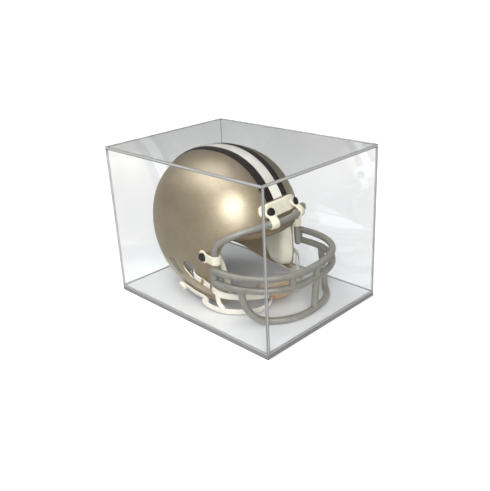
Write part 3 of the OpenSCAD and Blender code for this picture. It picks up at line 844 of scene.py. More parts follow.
class CASE_OT_shell(Operator):
    """Build the helmet's shell: an outer and an inner skin with a rounded edge and ear holes"""

    bl_idname = "case.shell"
    bl_label = "Helmet shell"
    rows = 72  # rings from the pole to the edge
    half_columns = 120  # points of each ring on either side
    steps = 6  # rings between a hole's outline and the block of the grid round it
    paint, inside = 0, 1  # its finishes, in order

    def directions(self, helmet, edge):
        """Directions from the middle: great circles from a pole high on the back to the edge."""
        tilt = math.radians(50)
        pole = np.array([-math.sin(tilt), 0, math.cos(tilt)])
        ends = unit(helmet.raw_at(edge[:, 0], edge[:, 1]))
        share = np.maximum((np.arange(self.rows + 1) / self.rows)[:, None, None], 0.003)
        w = np.arccos(ends @ pole)[None, :, None]
        return (pole * np.sin((1 - share) * w) + ends * np.sin(share * w)) / np.sin(w)

    def execute(self, context):
        helmet, c = sizes_of(context, "colours")
        d = self.directions(helmet, helmet.edge(self.half_columns))
        outer, inner = helmet.along(d), helmet.along(d, -helmet.s.wall)
        half = np.linalg.norm(outer[-1] - inner[-1], axis=-1)[:, None] / 2
        middle, out = (outer[-1] + inner[-1]) / 2, unit(outer[-1] - inner[-1])
        beyond = unit(outer[-1] - outer[-2])
        rim = [middle + half * (out * x + beyond * y) for x, y in arc(0, math.pi, 7)[1:-1]]
        rings = np.concatenate([outer, np.array(rim), inner[::-1]])
        rows, columns, _ = rings.shape
        quads = grid_faces(rows, columns)
        row, column = quads[:, 0] // columns, quads[:, 0] % columns
        kind = np.where(row < self.rows + 1, self.paint, self.inside)
        keep = np.ones(len(quads), bool)
        points, walls, wall_kinds = [rings.reshape(-1, 3)], [], []
        for side in (-1, 1):
            top, bottom, left, right = self.hole_block(helmet, outer, side)
            across = (column >= left) & (column < right)
            keep &= ~(across & (row >= top) & (row < bottom))
            keep &= ~(across & (row >= rows - 1 - bottom) & (row < rows - 1 - top))
            loop = self.around(top, bottom, left, right)
            start = sum(len(p) for p in points)
            new_points, faces, kinds = self.hole_wall(helmet, rings, loop, side, start)
            points.append(new_points)
            walls += faces
            wall_kinds += kinds
        faces = quads[keep][:, ::-1].tolist()
        last = (rows - 1) * columns
        caps = [list(range(columns)), list(range(last, last + columns))[::-1]]
        mould = Mould()
        kinds = list(kind[keep]) + wall_kinds + [self.paint, self.inside]
        mould.add(np.concatenate(points), faces + walls + caps, kinds)
        finishes = [paint_finish(c), vinyl_finish("shell_inside", c.shell_inside, 0.5)]
        helmet_piece(helmet, "shell", mould, finishes, ["helmet_shell"], "shell_paint")
        return {"FINISHED"}

    def hole_block(self, helmet, outer, side):
        """The block of the grid, in rows and columns, that a hole with room round it needs."""
        s = helmet.s
        u, v = helmet.into_ear(outer[..., 0], outer[..., 2])
        near = (np.abs(u) < s.ear_length * 0.62) & (np.abs(v) < s.ear_width * 0.8)
        near &= (outer[..., 1] * side) > 30 * MM
        i, j = np.nonzero(near)
        return i.min() - 1, i.max() + 1, j.min() - 1, j.max() + 1

    def around(self, top, bottom, left, right):
        """Rows and columns of the block's rim, in order."""
        loop = [(top, j) for j in range(left, right)]
        loop += [(i, right) for i in range(top, bottom)]
        loop += [(bottom, j) for j in range(right, left, -1)]
        loop += [(i, left) for i in range(bottom, top, -1)]
        return np.array(loop)

    def hole_wall(self, helmet, rings, loop, side, start):
        """Rings from the block's rim to the hole's outline on the outer skin, through the wall
        and back out to the rim on the inner skin. The outline is |u/a|^3 + |v/b|^3 = 1 in the
        hole's own axes, and each of its points lies at the same angle as its rim point."""
        s, (rows, columns, _) = helmet.s, rings.shape
        layers, ends = [], []
        for i, off in ((loop[:, 0], 0.0), (rows - 1 - loop[:, 0], -s.wall)):
            rim = rings[i, loop[:, 1]]
            angle = np.arctan2(*helmet.into_ear(rim[:, 0], rim[:, 2])[::-1])
            reach = np.abs(np.cos(angle) / (s.ear_length / 2)) ** 3
            reach = (reach + np.abs(np.sin(angle) / (s.ear_width / 2)) ** 3) ** (-1 / 3)
            x, z = helmet.from_ear(reach * np.cos(angle), reach * np.sin(angle))
            layers.append([
                helmet.beside(mixed(rim[:, 0], x, t), mixed(rim[:, 2], z, t), off)
                * np.array([1, -side, 1])
                for t in np.linspace(0, 1, self.steps + 1)[1:]
            ])
            ends.append(i * columns + loop[:, 1])
        made = layers[0] + layers[1][::-1]
        new = start + np.arange(len(made) * len(loop)).reshape(-1, len(loop))
        table = np.concatenate([ends[0][None], new, ends[1][None]])
        nxt = np.roll(table, -1, axis=1)
        quads = np.stack([table[1:], nxt[1:], nxt[:-1], table[:-1]], -1).reshape(-1, 4)
        kinds = [self.paint] * (self.steps + 1) + [self.inside] * self.steps
        kinds = np.repeat(kinds, len(loop)).tolist()
        return np.concatenate(made), quads.tolist(), kinds


class CASE_OT_stripes(Operator):
    """Build the three stripes over the crown, as thin skins with rounded sides"""

    bl_idname = "case.stripes"
    bl_label = "Stripes"

    def execute(self, context):
        helmet, trim, c = sizes_of(context, "trim", "colours")
        gap = 0.2 * MM
        white = vinyl_finish("white_stripe", c.white, 0.35, 700, 0.00001, 0.3)
        dark = vinyl_finish("dark_stripe", c.dark, 0.42, 700, 0.00001, shine=0.09)
        beside = trim.stripe / 2 + gap + trim.dark_stripe / 2
        for name, y, width, finish, slot in (
            ("center", 0, trim.stripe, white, "stripe_white"),
            ("left", beside, trim.dark_stripe, dark, "stripe_dark"),
            ("right", -beside, trim.dark_stripe, dark, "stripe_dark"),
        ):
            section = rounded_loop(width / 2, trim.stripe_depth / 2, 7, 28)
            phi = np.linspace(29.3, 203, 150)[:, None]
            rings = helmet.over(phi, y + section[:, 0], trim.stripe_depth * 0.6 + section[:, 1])
            mould = Mould().tubes(rings)
            helmet_piece(helmet, f"stripe_{name}_skin", mould, [finish], [f"stripe_{name}"], slot)
        return {"FINISHED"}


def button(surface, outline, profile):
    """Rings of a low moulding on a surface: outline (k, 2) gives its shape in the surface's own
    two parameters, and profile lists (share of the outline, offset) from the middle of its top,
    over the side, to the middle of its underside."""
    share, off = np.asarray(profile, float).T
    u = outline[None, :, 0] * share[:, None]
    v = outline[None, :, 1] * share[:, None]
    return surface(u, v, off[:, None])


def rounded_profile(low, high, edge, steps=5):
    """A plate's profile: flat on top, a quarter circle over the rim, flat underneath. edge is
    the rim's share of the half-width."""
    a = np.linspace(0, np.pi / 2, steps)
    drop = (high - low) * 0.6 * (1 - np.cos(a))
    over = np.stack([1 - edge + edge * np.sin(a), high - drop], -1)
    flat = [[t, high] for t in (0.01, 0.25, 0.5, 0.75)]
    under = [[1 - edge * 0.3, low], [0.5, low], [0.01, low]]
    return np.concatenate([flat, over, [[1, mixed(low, high, 0.2)]], under])


class CASE_OT_brow_plate(Operator):
    """Build the plate under the front clips and the soft trim along the neck"""

    bl_idname = "case.brow_plate"
    bl_label = "Brow plate and neck trim"

    def execute(self, context):
        helmet, trim, c = sizes_of(context, "trim", "colours")
        cream = vinyl_finish("cream_vinyl", c.cream, 0.32, 900, 0.00002, 0.2)
        middle, half_h, half_az = 29.6 * MM, 6.6 * MM, 20.5
        outline = rounded_loop(1, 1, 3.4, 120)
        waist = 1 - 0.16 * np.exp(-((outline[:, 0] / 0.42) ** 2)) * (outline[:, 1] < 0)
        outline[:, 1] *= waist

        def surface(u, v, off):
            return helmet.at(half_az * u, middle + half_h * v, off)

        rings = button(surface, outline, rounded_profile(0.1 * MM, trim.plate, 0.12))
        mould = Mould().tubes(rings)
        helmet_piece(helmet, "brow_cover", mould, [cream], ["brow_plate"], "cream_plastic")
        self.neck(helmet, cream)
        self.vent_shade_bars(helmet)
        return {"FINISHED"}

    def vent_shade_bars(self, helmet):
        """Two narrow slots on each flank, behind the ear hole: near-black rounded bars sunk into
        the
            shell so that only their faces show, as painted shade standing in for the shadow inside
            the slots."""
        # The near-black colour is painted shade for the inside of the slots.
        dark = vinyl_finish("vent_painted_shade", (0.02, 0.014, 0.008), 0.6, shine=0.1)
        t = np.linspace(0, 1, 24)[:, None]
        section = rounded_loop(0.55 * MM, 0.5 * MM, 3, 16)
        mould = Mould()
        for top, bottom in (((-113, -23.5), (-107, -38)), ((-108, -22.5), (-102, -37))):
            az, h = (mixed(top[i], bottom[i], t[:, 0]) for i in (0, 1))
            path = helmet.at(az, MM * h, -0.25 * MM)
            faces = helmet.normal_at(az, MM * h)
            rings = round_ends(carried(path, section, faces), 0.5 * MM)
            mould.tubes(rings, mirrored(rings))
        helmet_piece(helmet, "vent_painted_shades", mould, [dark], [], "shell_paint")

    def neck(self, helmet, cream):
        """A strip that hooks round the neck edge: its section goes up outside, round below the
        edge and up inside. It is drawn for a wall of 2.4 mm, and its inner part moves with it."""
        section = MM * np.array(
            [[5.6, 0.3], [5.4, 1.2], [2, 1.7], [-0.6, 1.5], [-2.2, 0.4], [-2.6, -1.2],
             [-2.2, -2.8], [-0.8, -3.9], [2, -3.9], [4, -3.6], [4.3, -2.9], [3.5, -2.6],
             [1.2, -2.6], [-0.1, -1.9], [-0.4, -1.2], [-0.1, -0.4], [1.2, 0.15], [4, 0.15]]
        )
        section[section[:, 1] < -2 * MM, 1] += 2.4 * MM - helmet.s.wall
        az = np.linspace(139, 221, 70)[:, None]
        rings = helmet.at(az, helmet.neck + section[:, 0], section[:, 1])
        mould = Mould().tubes(round_ends(rings, MM))
        helmet_piece(helmet, "neck_edging", mould, [cream], ["neck_trim"], "cream_plastic")


class Mask:
    """Paths of the face mask's bars. Seen from above a front bar is half of |x/a|^n + |y/b|^n = 1,
    with its angle running from -90 at the right to 90 at the left."""

    def __init__(self, helmet, sizes):
        self.h, self.s = helmet, sizes
        self.half_width = helmet.s.side + 0.6 * MM
        self.off = sizes.gap + sizes.bar
        self.side_az = 55.2
        self.cross_h = helmet.brow + 3.5 * MM
        self.low = sizes.bar - helmet.s.centre_height

    def plan(self, a, height, back=0.0, narrow=0.0):
        a, s = np.radians(a), self.s
        x = s.root + (s.reach - back - s.root) * spow(np.cos(a), 2 / s.round)
        y = (self.half_width - narrow) * spow(np.sin(a), 2 / s.round)
        return np.stack(np.broadcast_arrays(x, y, height), -1)

    def front_bar(self, height):
        return self.plan(np.linspace(-90, 90, 97), height)

    def loop(self, turn_at=70, flat=46):
        """The chin loop drops from the lower bar as a quarter ellipse and runs level in front."""
        a = np.linspace(-turn_at, turn_at, 121)
        t = np.maximum(0, (np.abs(a) - flat) / (turn_at - flat))
        rise = 1 - np.sqrt(np.maximum(0, 1 - t * t))
        k = 1 - eased(t)
        height = mixed(self.low, self.s.lower, rise)
        return self.plan(a, height, self.s.loop_back * k, self.s.loop_narrow * k)

    def brow(self):
        """From the lower bar up the side of the face opening, and along the brow."""
        s, az = self.s, self.side_az
        route = [
            [az, s.lower], [az, s.upper], [az, -10 * MM], [az, -2 * MM], [az - 2, 4.5 * MM],
            [44, 11.5 * MM], [35, 15.7 * MM], [27, 17.8 * MM], [18.5, 18.8 * MM], [10.5, 18 * MM],
        ]
        q = through(route, np.linspace(0, 1, 90))
        return self.h.at(-q[:, 0], q[:, 1], self.off), self.h.normal_at(-q[:, 0], q[:, 1])

    def cross(self):
        az = np.linspace(-16.8, 16.8, 40)
        return self.h.at(az, self.cross_h, self.off + MM), self.h.normal_at(az, self.cross_h)


class CASE_OT_face_mask(Operator):
    """Build the face mask: rounded bars carried along their paths"""

    bl_idname = "case.face_mask"
    bl_label = "Face mask"

    def execute(self, context):
        helmet, sizes, c = sizes_of(context, "mask", "colours")
        mask, mould = Mask(helmet, sizes), Mould()
        section = rounded_loop(sizes.bar, sizes.bar, 2.5, 20)
        along, _, up = np.eye(3)

        def bar(path, faces):
            rings = carried(path, section, np.broadcast_to(faces, path.shape))
            mould.tube(round_ends(rings, sizes.bar))

        def straight(start, end, faces):
            bar(mixed(start, end, np.linspace(0, 1, 9)[:, None]), faces)

        bar(mask.front_bar(sizes.upper), up)
        bar(mask.front_bar(sizes.lower), up)
        bar(mask.loop(), up)
        bar(*mask.cross())
        path, faces = mask.brow()
        for flip in (np.array([1, 1, 1]), np.array([1, -1, 1])):
            bar(path * flip, faces * flip)
            self.gusset(mask, straight, flip)
        for a in (-24, 0, 24):
            straight(mask.plan(a, sizes.upper), mask.plan(a, sizes.lower), unit(mask.plan(a, 0.0)))
        chin = mask.plan(0, mask.low, sizes.loop_back, sizes.loop_narrow)
        straight(mask.plan(0, sizes.lower), chin, along)
        finish = vinyl_finish("mask_vinyl", c.mask, 0.3, 900, 0.00002, 0.5)
        helmet_piece(helmet, "mask", mould, [finish], ["face_mask"], "mask_grey")
        return {"FINISHED"}

    def gusset(self, mask, straight, flip):
        """Straight runs of the two bars back from where they curve, and a tie between them."""
        s, y = mask.s, -mask.half_width
        back, front = s.root - 4 * MM, s.root + 8 * MM
        for height in (s.upper, s.lower):
            start, end = np.array([back, y, height]), np.array([front, y, height])
            straight(start * flip, end * flip, [0, 0, 1.0])
        start, end = np.array([back, y, s.upper]), np.array([back, y, s.lower])
        straight(start * flip, end * flip, [0, 1.0, 0])


class CASE_OT_clips(Operator):
    """Build the four clips: a band from under each screw, round a bar and back"""

    bl_idname = "case.clips"
    bl_label = "Clips"

    def execute(self, context):
        helmet, trim, sizes, c = sizes_of(context, "trim", "mask", "colours")
        mask = Mask(helmet, sizes)
        cream = vinyl_finish("clip_vinyl", c.cream, 0.3, 900, 0.00002, 0.3)
        places = {
            "front": (helmet.seat(-14, 28 * MM), trim.plate + trim.clip / 2 + 0.4 * MM,
                      helmet.at(-14, mask.cross_h, mask.off + MM)),
            "side": (helmet.seat(-66, -10 * MM), trim.clip / 2 + 0.3 * MM,
                     helmet.at(-mask.side_az, -10 * MM, mask.off)),
        }
        for name, (seat, off, bar) in places.items():
            rings = self.band(seat, off, bar, sizes.bar + trim.clip / 2 + 0.1 * MM, trim)
            for hand, made in both_hands(rings).items():
                mould, nodes = Mould().tubes(made), [f"clip_{name}_{hand}"]
                helmet_piece(
                    helmet, f"{name}_clip_{hand}", mould, [cream], nodes, "cream_plastic"
                )
        return {"FINISHED"}

    def band(self, seat, off, bar, radius, trim):
        """In the plane through the screw and across the bar: a straight run from behind the screw
        to where it touches a circle round the bar, then most of the way round that circle. The
        band is wider, as a disc, round the screw."""
        out, start = seat[:3, 2], seat[:3, 3] + seat[:3, 2] * off
        to_bar = bar - start
        level = np.dot(to_bar, out)
        ahead = unit(to_bar - out * level)
        across = np.cross(ahead, out)
        b = np.array([np.dot(to_bar, ahead), level])
        d = np.linalg.norm(b)
        e = b / d
        n = np.array([-e[1], e[0]])
        lean = math.asin(min(0.95, radius / d))
        touch = b + radius * (-math.sin(lean) * e + math.cos(lean) * n)
        disc = trim.head + 2.1 * MM
        behind = -disc * 0.97 / np.linalg.norm(touch)
        line = [touch * t for t in np.linspace(behind, 0.96, 26)]
        first = math.atan2(*(touch - b)[::-1])
        ring = [b + radius * np.array(p) for p in arc(first, first - math.radians(250), 30)]
        flat = np.array(line + ring)
        path = start + flat[:, :1] * ahead + flat[:, 1:] * out
        reach = np.where(np.arange(len(flat)) < len(line), flat @ e, np.inf)
        wide = np.sqrt(np.maximum(0.02, 1 - (reach / disc) ** 2)) * disc / trim.clip_half
        swell = np.where(reach < 0, wide, np.maximum(np.where(reach < disc, wide, 0), 1))
        section = rounded_loop(trim.clip_half, trim.clip / 2, 4, 28)
        faces = np.cross(tangents(path), across)
        return round_ends(carried(path, section, faces, swell), 0.3 * MM)


class CASE_OT_screws(Operator):
    """Build the domed clip screws and the flanged nuts inside the shell"""

    bl_idname = "case.screws"
    bl_label = "Screws and nuts"

    def execute(self, context):
        helmet, trim = sizes_of(context, "trim")
        black = vinyl_finish("black_screw", (0.006, 0.006, 0.006), 0.15, 700, 0.000003, shine=0.3)
        nickel = metal_finish("nickel", (0.62, 0.62, 0.62))
        screws, nuts, r = Mould(), Mould(), trim.head
        dome = [[r * y, 0.9 * MM + 1.5 * MM * x] for x, y in arc(0.01, 1.45, 9)]
        head = dome + [[r * 1.02, 0.6 * MM], [r * 0.98, 0.1 * MM], [1.3 * MM, 0]]
        head += [[1.3 * MM, -9 * MM], [0.1 * MM, -9.2 * MM]]
        flange = MM * np.array(
            [[1.5, -8.3], [2.6, -8.3], [2.8, -8.1], [2.8, -5.5], [5.3, -5.4], [5.5, -5.1],
             [5.5, -4.2], [5.3, -3.9], [1.5, -3.9]]
        )
        front, side = trim.plate + trim.clip + 0.5 * MM, trim.clip + 0.4 * MM
        for az, h, out in ((-14, 28, front), (-66, -10, side)):
            rings = turned(head, helmet.seat(az, h * MM, 0, out))
            screws.tubes(rings, mirrored(rings))
            rings = turned(flange, helmet.seat(az, h * MM), 36)
            nuts.tubes(rings, mirrored(rings), joined=True)
        helmet_piece(helmet, "screws", screws, [black], ["clip_screws"], "black_plastic")
        helmet_piece(helmet, "nuts", nuts, [nickel], ["clip_nuts"], "nickel")
        return {"FINISHED"}


def pad_profile(back, thick, flange):
    """From the middle of the pad's face: crowned, rolled over at the side as a quarter ellipse,
    down to a thin welded flange if it has one, and under. Offsets go inwards from the shell."""
    side = 0.98 - flange
    face = [[t * side, back - thick * (1 - 0.15 * t**2.5)] for t in (0.01, 0.22, 0.44, 0.63, 0.78)]
    roll = [
        [side * (0.87 + 0.13 * y), back - thick * (0.26 + 0.56 * x)]
        for x, y in arc(0.25, math.pi / 2, 6)
    ]
    weld = [[side + 0.005, back - 1.3 * MM], [side + 0.01, back - 1.0 * MM]] if flange else []
    rim = [[0.985, back - 1.0 * MM], [1.0, back - 0.6 * MM]]
    under = [[share, back] for share in (0.985, 0.6, 0.01)]
    return face + roll + weld + rim + under


class CASE_OT_pads(Operator):
    """Build the pads inside the shell, each crowned, and most with a welded flange"""

    bl_idname = "case.pads"
    bl_label = "Pads"

    def execute(self, context):
        helmet, trim, c = sizes_of(context, "trim", "colours")
        back = -helmet.s.wall - 1.1 * MM
        tan = leather_finish("tan_pad", c.tan)
        grey = leather_finish("grey_pad", c.grey, 0.55)
        cream = leather_finish("cream_pad", c.jaw, 0.42)

        def part(surface, first, second):
            """A surface between two values of its first parameter and two of its second."""
            return lambda u, v, off: surface(
                mixed(*first, 0.5 + 0.5 * u), MM * mixed(*second, 0.5 + 0.5 * v), off
            )

        table = [
            ("front_pad", part(helmet.at, (-44, 44), (5, 20)), 5.0, tan, "pad_tan"),
            ("crown_pad", part(helmet.over, (62, 122), (-24, 24)), 4.0, tan, "pad_tan"),
            ("back_pad", part(helmet.at, (142, 218), (-34, 4)), 4.0, grey, "pad_grey"),
            ("side_pad", part(helmet.at, (-128, -90), (-38, 36)), 4.0, grey, "pad_grey"),
            ("jaw_pad", part(helmet.at, (-87, -49.5), (-54, -2)), 3.0, cream, "pad_cream"),
        ]
        for node, surface, power, finish, slot in table:
            jaw = node == "jaw_pad"
            profile = pad_profile(back, trim.jaw_pad if jaw else trim.pad, 0 if jaw else 0.06)
            parts = [button(surface, rounded_loop(1, 1, power, 140), profile)]
            if node == "side_pad":
                parts.append(self.ear_bulge(helmet, back))
            moulds = {"": Mould().tubes(*parts)}
            if node in ("side_pad", "jaw_pad"):
                left = Mould().tubes(*(mirrored(rings) for rings in parts))
                moulds = {"_right": moulds[""], "_left": left}
            for hand, mould in moulds.items():
                piece = helmet_piece(
                    helmet, f"soft_{node}{hand}", mould, [finish], [node + hand], slot
                )
        return {"FINISHED"}

    def ear_bulge(self, helmet, back):
        """The small cushion that swells into the rear of an ear hole: a low dome, where the
        offset rises as the root of 1 - share^2."""

        def surface(u, v, off):
            return helmet.at(-90 + 6.4 * u - 2.2 * v, MM * (-24.5 + 7.5 * v), off)

        shares = (0.01, 0.3, 0.55, 0.75, 0.9, 0.97, 1)
        dome = [[t, back + 2.6 * MM * math.sqrt(1 - t * t)] for t in shares]
        under = [[0.97, back - 0.9 * MM], [0.5, back - 1.1 * MM], [0.01, back - 1.1 * MM]]
        return button(surface, rounded_loop(1, 1, 2.2, 60), dome + under)


class CASE_OT_chin_cup(Operator):
    """Build the chin cup and its liner: bowls turned about a leaning axis"""

    bl_idname = "case.chin_cup"
    bl_label = "Chin cup"

    def execute(self, context):
        helmet, trim, c = sizes_of(context, "trim", "colours")
        lean = math.radians(-22)
        x, z = math.cos(lean), math.sin(lean)
        place = np.eye(4)
        place[:3, :3] = [[x, 0, z], [0, 1, 0], [-z, 0, x]]
        place[:3, 3] = [59 * MM, 0, trim.cup - helmet.s.centre_height]
        inner = trim.cup - trim.cup_wall
        cup = Mould().tubes(turned(self.bowl(trim.cup, inner), place, 72))
        inner -= 0.1 * MM
        liner = Mould().tubes(turned(self.bowl(inner, inner - trim.liner), place, 72))
        tan = vinyl_finish("cup_plastic", c.cup, 0.4)
        foam = leather_finish("cup_foam", c.liner, 0.8)
        helmet_piece(helmet, "cup", cup, [tan], ["chin_cup"], "cup_tan")
        soft = helmet_piece(helmet, "cup_pad", liner, [foam], ["chin_cup_liner"], "cup_liner")
        return {"FINISHED"}

    def bowl(self, outer, inner):
        """Half a ball outside and half a ball inside, joined by a rounded rim just below the
        middle."""
        lip, low, half = -2 * MM, 0.01 - math.pi / 2, (outer - inner) / 2
        down = [[outer * x, outer * y] for x, y in arc(low, math.asin(lip / outer), 26)]
        up = [[inner * x, inner * y] for x, y in arc(math.asin(lip / inner), low, 26)]
        rim = [
            [mixed(outer, inner, 0.5) + half * x, lip + half * y]
            for x, y in arc(0, math.pi, 7)[1:-1]
        ]
        return down + rim + up


class Straps:
    """Routes of the right-hand chin straps, and the way that their faces look."""

    def __init__(self, helmet, trim):
        self.h, self.t = helmet, trim
        low = trim.strap / 2 + 0.6 * MM - helmet.s.centre_height
        out = trim.strap_depth / 2 + 1.6 * MM
        low_mm = low / MM
        upper_on = [
            [-86, -30, -4.6 * MM], [-84.6, -30.8, -2.4 * MM], [-81.2, -32.8, out],
            [-75, -36.5, out], [-69, -41, out],
        ]
        upper_free = [
            [41, -59, -44], [49, -53, -47.5], [57, -41, -51], [63, -28, -54], [66, -18.2, -55.4],
        ]
        lower_on = [[-112, -50, out], [-100, -54.5, out], [-86, -58, out + 0.6 * MM]]
        lower_free = [
            [20, -56.5, -61], [32, -56.5, -63.5], [44, -54, low_mm + 0.3], [57, -46, low_mm],
            [68, -34, low_mm], [69.5, -22, low_mm + 1], [66, -14, low_mm + 2],
        ]
        self.upper = self.route(upper_on, MM * np.array(upper_free))
        self.lower = self.route(lower_on, MM * np.array(lower_free))
        branch = MM * np.array([[40.5, -59, -44.3], [41, -58, -54], [44, -55.5, -61]])
        self.branch = branch, unit(np.tile([0.8, -0.5, 0.1], (len(branch), 1)))

    def route(self, on, free):
        """Points on the shell, then points off it; the faces look out of the shell, and then
        away from the jaw."""
        on = np.array(on)
        points = self.h.at(on[:, 0], MM * on[:, 1], on[:, 2])
        faces = self.h.normal_at(on[:, 0], MM * on[:, 1])
        away = unit(free - MM * np.array([20, 0, -52]))
        return np.concatenate([points, free]), np.concatenate([faces, away])

    def ribbon(self, route, steps, share=1.0):
        """Rings of a strap, and each point's place across and along it."""
        t = np.linspace(0, 1, steps)
        path, faces = through(route[0], t), through(route[1], t)
        section = rounded_loop(self.t.strap / 2 * share, self.t.strap_depth / 2, 5, 20)
        rings = round_ends(carried(path, section, faces), 0.5 * MM)
        run = np.concatenate([[0], np.cumsum(np.linalg.norm(np.diff(path, axis=0), axis=1))])
        run = np.pad(run, (len(rings) - steps) // 2, mode="edge")
        place = np.stack(np.broadcast_arrays(section[None, :, 0], run[:, None]), -1)
        return rings, place


class CASE_OT_straps(Operator):
    """Build the chin straps as woven bands"""

    bl_idname = "case.straps"
    bl_label = "Chin straps"

    def execute(self, context):
        helmet, trim, c = sizes_of(context, "trim", "colours")
        straps, web = Straps(helmet, trim), webbing_finish(c)
        ribbons = {
            "upper": [straps.ribbon(straps.upper, 120), straps.ribbon(straps.branch, 24, 0.7)],
            "lower": [straps.ribbon(straps.lower, 130)],
        }
        for name, parts in ribbons.items():
            for hand in ("right", "left"):
                mould = Mould()
                for rings, place in parts:
                    mould.tube(both_hands(rings)[hand], place)
                nodes = [f"{name}_strap_{hand}"]
                helmet_piece(helmet, f"{name}_webbing_{hand}", mould, [web], nodes, "strap_web")
        return {"FINISHED"}


class CASE_OT_hardware(Operator):
    """Build the slides, snaps and studs of the straps"""

    bl_idname = "case.hardware"
    bl_label = "Strap slides and snaps"

    def execute(self, context):
        helmet, trim, c = sizes_of(context, "trim", "colours")
        straps = Straps(helmet, trim)
        brass = metal_finish("brass", c.brass, 0.3)
        cream = vinyl_finish("snap_vinyl", c.cream, 0.3, 900, 0.00002, 0.3)
        dark = vinyl_finish("snap_socket", (0.05, 0.045, 0.04), 0.4)
        steel = metal_finish("stud_steel", (0.45, 0.45, 0.45))
        slides = [both_hands(self.slide(straps, t)) for t in (0.34, 0.47)]
        cap = MM * np.array(
            [[0.1, 0.9], [1.2, 0.9], [1.5, 1.2], [1.7, 2.1], [2.0, 2.3], [3.8, 2.3], [4.6, 2.0],
             [5, 1.3], [4.9, 0.4], [4.5, 0.05], [0.1, 0]]
        )
        pin = MM * np.array([[0.1, 0.1], [3, 0.1], [3.1, 0.4], [2.2, 0.6], [2, 1.2], [0.1, 1.3]])
        around, socket_rings = 40, 2
        out = trim.strap_depth + 1.7 * MM
        snaps = both_hands(turned(cap, helmet.seat(-112, -50 * MM, 0, out), around))
        studs = both_hands(turned(pin, helmet.seat(-112, -50 * MM), 30))
        for hand, snap in snaps.items():
            mould = Mould().tubes(*(slide[hand] for slide in slides), joined=True)
            helmet_piece(helmet, f"slide_{hand}", mould, [brass], [f"strap_slide_{hand}"], "brass")
            mould = Mould().tubes(snap)
            mould.kinds[: around * socket_rings] = [1] * (around * socket_rings)
            nodes = [f"strap_snap_{hand}"]
            helmet_piece(helmet, f"snap_{hand}", mould, [cream, dark], nodes, "cream_plastic")
        mould = Mould().tubes(*studs.values())
        helmet_piece(helmet, "studs", mould, [steel], ["snap_studs"], "nickel")
        return {"FINISHED"}

    def slide(self, straps, t):
        """A round wire bent into a rounded rectangle round the strap."""
        path, faces = (through(v, np.array([t, t + 0.01])) for v in straps.upper)
        ahead = unit(path[1] - path[0])
        side = unit(np.cross(faces[0], ahead))
        top = np.cross(ahead, side)
        half_width, half_depth = straps.t.strap / 2 + MM, straps.t.strap_depth / 2 + 0.65 * MM
        loop = rounded_loop(half_width, half_depth, 5, 60)
        wire = rounded_loop(0.6 * MM, 1.3 * MM, 2.6, 14)
        line = path[0] + loop[:, :1] * side + loop[:, 1:] * top
        out = np.cross(unit(np.roll(line, -1, 0) - np.roll(line, 1, 0)), ahead)
        return line[:, None] + wire[None, :, :1] * out[:, None] + wire[None, :, 1:] * ahead


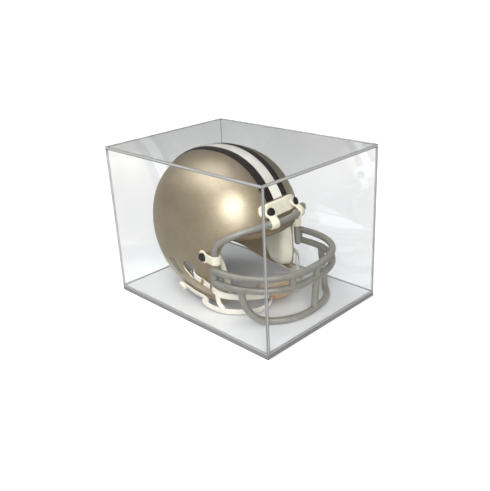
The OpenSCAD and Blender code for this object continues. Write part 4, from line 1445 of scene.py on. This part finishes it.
class CASE_OT_stage(Operator):
    """Set up the floor, the lights and the camera"""

    bl_idname = "case.stage"
    bl_label = "Stage"

    def execute(self, context):
        v, c = context.scene.case_view, context.scene.case_colours
        mesh, r = bpy.data.meshes.new("studio_floor"), 6  # half the floor's side, in metres
        mesh.from_pydata([(-r, -r, 0), (r, -r, 0), (r, r, 0), (-r, r, 0)], [], [(0, 1, 2, 3)])
        mesh.materials.append(floor_finish(c))
        floor = bpy.data.objects.new("studio_floor", mesh)
        context.scene.collection.objects.link(floor)
        self.surround(context, v)
        self.lamp("key", v.key, v.key_spread, (0.66, -0.68, 0.52))
        self.lamp("top", v.top, v.top_spread, (-0.3, -0.35, 1.0))
        self.camera(context, v)
        context.scene.view_settings.view_transform = "Standard"
        return {"FINISHED"}

    def surround(self, context, v):
        """White where it is seen, straight or through the clear panels, grey as a light, and
        darker still where it is mirrored."""
        world = bpy.data.worlds.new("surround")
        world.use_nodes = True
        nodes = Nodes(world.node_tree)
        lent = nodes.ray("Is Glossy Ray") * (v.sky * (MIRRORED - 1)) + v.sky
        seen = nodes.seen()
        level = lent * (1 - seen) + seen
        sky = nodes.node("ShaderNodeBackground", {}, {0: (1, 1, 1), 1: level})
        nodes.node("ShaderNodeOutputWorld", {}, {"Surface": sky})
        context.scene.world = world

    def lamp(self, name, strength, spread, place):
        """A far, soft light that shines from a direction and lights the floor evenly."""
        data = bpy.data.lights.new(name, "SUN")
        data.energy, data.angle = strength, spread
        lamp = bpy.data.objects.new(name, data)
        lamp.location = place
        lamp.rotation_euler = (-Vector(place)).to_track_quat("-Z", "Y").to_euler()
        bpy.context.scene.collection.objects.link(lamp)

    def camera(self, context, v):
        """The camera looks along a direction given by its angles, and leans by its roll."""
        back = Vector(
            (math.sin(v.around) * math.cos(v.above), -math.cos(v.around) * math.cos(v.above),
             math.sin(v.above))
        )
        right = (-back).cross(Vector((0, 0, 1))).normalized()
        up = right.cross(-back)
        c, q = math.cos(v.roll), math.sin(v.roll)
        right, up = right * c + up * q, up * c - right * q
        data = bpy.data.cameras.new("camera")
        data.lens, data.sensor_width, data.sensor_fit = v.lens, 36, "AUTO"
        data.clip_start, data.clip_end = 0.01, 50
        camera = bpy.data.objects.new("camera", data)
        axes = Matrix((right, up, back)).transposed()
        camera.matrix_world = Matrix.Translation(v.place) @ axes.to_4x4()
        context.scene.collection.objects.link(camera)
        context.scene.camera = camera


# ---- The add-on -----------------------------------------------------------------------------

STEPS = (
    CASE_OT_stage, CASE_OT_base, CASE_OT_cover, CASE_OT_shell, CASE_OT_stripes, CASE_OT_brow_plate,
    CASE_OT_face_mask, CASE_OT_clips, CASE_OT_screws, CASE_OT_pads, CASE_OT_chin_cup,
    CASE_OT_straps, CASE_OT_hardware,
)
GROUPS = {
    "case_shell": ShellSizes, "case_trim": TrimSizes, "case_mask": MaskSizes,
    "case_sizes": CaseSizes, "case_colours": Colours, "case_view": ViewSizes,
}


class CASE_PT_panel(Panel):
    """Lists the pieces of the display case and its settings"""

    bl_idname = "CASE_PT_panel"
    bl_label = "Display Case"
    bl_space_type = "VIEW_3D"
    bl_region_type = "UI"
    bl_category = "Display Case"

    def draw(self, context):
        for step in STEPS:
            self.layout.operator(step.bl_idname)
        for key in GROUPS:
            group = getattr(context.scene, key)
            box = self.layout.box()
            for prop in group.bl_rna.properties:
                if not prop.is_readonly and prop.identifier != "name":
                    box.prop(group, prop.identifier)


def register():
    for cls in (*GROUPS.values(), *STEPS, CASE_PT_panel):
        bpy.utils.register_class(cls)
    for key, cls in GROUPS.items():
        setattr(bpy.types.Scene, key, PointerProperty(type=cls))


def unregister():
    for key in GROUPS:
        delattr(bpy.types.Scene, key)
    for cls in (CASE_PT_panel, *reversed(STEPS), *reversed(GROUPS.values())):
        bpy.utils.unregister_class(cls)


def main():
    register()
    for step in STEPS:
        group, name = step.bl_idname.split(".")
        getattr(getattr(bpy.ops, group), name)()


if __name__ == "__main__":
    main()
